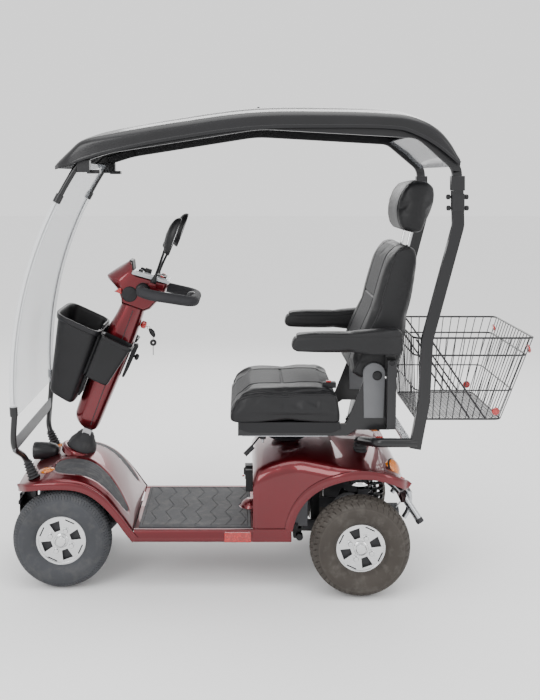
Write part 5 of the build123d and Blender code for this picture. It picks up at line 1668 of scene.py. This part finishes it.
class SCOOTER_OT_upholstery(Maker, bpy.types.Operator):
    """Make the swollen seat cushion, backrest, headrest and armrests with seams and piping"""
    bl_idname = "scooter.upholstery"
    bl_label = "Upholstery"

    def build(self, colours, sizes):
        depth, width = sizes.seam_depth, SEAM_WIDTH

        block = Form()
        block.skin(pad(CUSHION, 230, edge=24, inset=sizes.pad_rise * 1000))
        cushion = stuffed(block, "seat_cushion_cover", "seat", sizes,
                          ("leather insert", "seat_leather", ["seat_cushion"], 4.0, 0.010, 0.03))
        seam_x = rear(-250, 0, 0).x

        def strip(place, normal):
            return abs(place.y) - STRIP if normal.z > 0.25 or normal.x < -0.5 else 1.0

        def far(place, normal):
            return abs(place.y) - FAR_SEAM if normal.z > 0.1 else 1.0

        def cross(place, normal):
            return place.x - seam_x if abs(place.y) < STRIP and normal.z > 0.3 else 1.0
        press_lines(cushion, [strip, far, cross], depth, width)
        paint_faces(cushion, lambda place, normal: abs(place.y) < 0.116
                    and (normal.z > 0.3 or normal.x < -0.6), 1)

        block = Form()
        block.skin(pad(BACKREST, 203, edge=26, inset=sizes.pad_rise * 1000))
        back = stuffed(block, "backrest_cover", "seat_back", sizes,
                       ("leather insert", "seat_leather", ["backrest"], 4.0, 0.010, 0.03))
        seam_z = rear(0, 0, 800).z

        def back_strip(place, normal):
            return abs(place.y) - BACK_STRIP if normal.x < -0.2 else 1.0

        def back_cross(place, normal):
            return place.z - seam_z if abs(place.y) < BACK_STRIP and normal.x < -0.3 else 1.0
        press_lines(back, [back_strip, back_cross], depth, width)
        paint_faces(back, lambda place, normal: abs(place.y) < 0.106 and normal.x < -0.35, 1)

        block = Form()
        block.skin(pad(HEADREST, 131, edge=22, inset=sizes.pad_rise * 700, across=16))
        head = stuffed(block, "headrest_cover", "headrest", sizes,
                       ("leather insert", "seat_leather", ["headrest"], 4.0, 0.008, 0.02))
        press_lines(head, [lambda place, normal: abs(place.y) - HEAD_FACE if normal.x < 0.3 else 1.0],
                    depth * 0.7, width)
        posts = Form()
        for side in (-1, 1):
            foot = rear(166, side * 60, 907)
            line = [foot + Vector((sin(RISING), 0, cos(RISING))) * (0.118 * n / 6) for n in range(7)]
            posts.tube(line, 6, 0, 20)
        posts.make("headrest_posts", "headrest", "chrome", "chrome_trim")

        for side_name, side in SIDES:
            block = Form()
            block.skin(pad(ARMREST, 29.5, side * 252, 12, sizes.pad_rise * 500, 8))
            arm = stuffed(block, f"{side_name}_armrest_cover", f"{side_name}_armrest", sizes,
                          ("leather", "seat_leather", [f"{side_name}_armrest"], 3.0, 0.005, 0.008))
            low = rear(0, 0, 689).z
            press_lines(arm, [lambda place, normal: place.z - low if abs(normal.z) < 0.8 else 1.0],
                        depth * 0.7, width)

        # piping laid on the swollen covers, along the sewn edge of each side
        for name, cover, reach, line in (("seat_cushion_piping", cushion, 216,
                                          [(-426, 424), (-418, 460), (-390, 482), (-340, 494), (-260, 499),
                                           (-180, 501), (-104, 496), (-66, 486)]),
                                         ("backrest_piping", back, 188, [(-14, 570), (-2, 612), (12, 652),
            (40, 728), (68, 804), (92, 880), (112, 944), (126, 974), (150, 986)]),):
            surface = BVHTree.FromPolygons([v.co for v in cover.data.vertices],
                                           [tuple(face.vertices) for face in cover.data.polygons])
            middle = cover_middle(cover)
            piping = Form()
            for side in (-1, 1):
                route = rounded([rear(x, side * reach, z) for x, z in line], 30, 5)
                laid = [surface.find_nearest(place + (place - middle) * 0.15)[0] for place in route]
                piping.tube(laid, PIPING, 0, 10)
            body = "seat" if cover is cushion else "seat_back"
            piping.make(name, body, "leather", "seat_leather")


# ---------------------------------------------------------------- the add-on and its run
OPERATORS = (
    SCOOTER_OT_finishes,
    SCOOTER_OT_stage,
    SCOOTER_OT_frame_finishes,
    SCOOTER_OT_wheels,
    SCOOTER_OT_front_body,
    SCOOTER_OT_floor,
    SCOOTER_OT_rear_body,
    SCOOTER_OT_suspension,
    SCOOTER_OT_boots,
    SCOOTER_OT_lamps,
    SCOOTER_OT_canopy,
    SCOOTER_OT_windscreen,
    SCOOTER_OT_rear_basket,
    SCOOTER_OT_tiller,
    SCOOTER_OT_controls,
    SCOOTER_OT_mirrors,
    SCOOTER_OT_front_basket,
    SCOOTER_OT_seat_base,
    SCOOTER_OT_upholstery,
)


class SCOOTER_PT_pieces(bpy.types.Panel):
    """Sizes, colours and pieces of the scooter"""
    bl_idname = "SCOOTER_PT_pieces"
    bl_label = "Mobility Scooter"
    bl_space_type = "VIEW_3D"
    bl_region_type = "UI"
    bl_category = "Scooter"

    def draw(self, context):
        for group in (context.scene.scooter_colours, context.scene.scooter_sizes):
            column = self.layout.column(align=True)
            for name in group.__annotations__:
                column.prop(group, name)
        column = self.layout.column(align=True)
        for operator in OPERATORS:
            column.operator(operator.bl_idname)


CLASSES = (ScooterColours, ScooterSizes, *OPERATORS, SCOOTER_PT_pieces)


def register():
    for each in CLASSES:
        bpy.utils.register_class(each)
    bpy.types.Scene.scooter_colours = PointerProperty(type=ScooterColours)
    bpy.types.Scene.scooter_sizes = PointerProperty(type=ScooterSizes)


def unregister():
    del bpy.types.Scene.scooter_sizes
    del bpy.types.Scene.scooter_colours
    for each in reversed(CLASSES):
        bpy.utils.unregister_class(each)


def main():
    register()
    for operator in OPERATORS:
        getattr(bpy.ops.scooter, operator.bl_idname.split(".")[1])()
    bpy.context.view_layer.update()


if __name__ == "__main__":
    main()
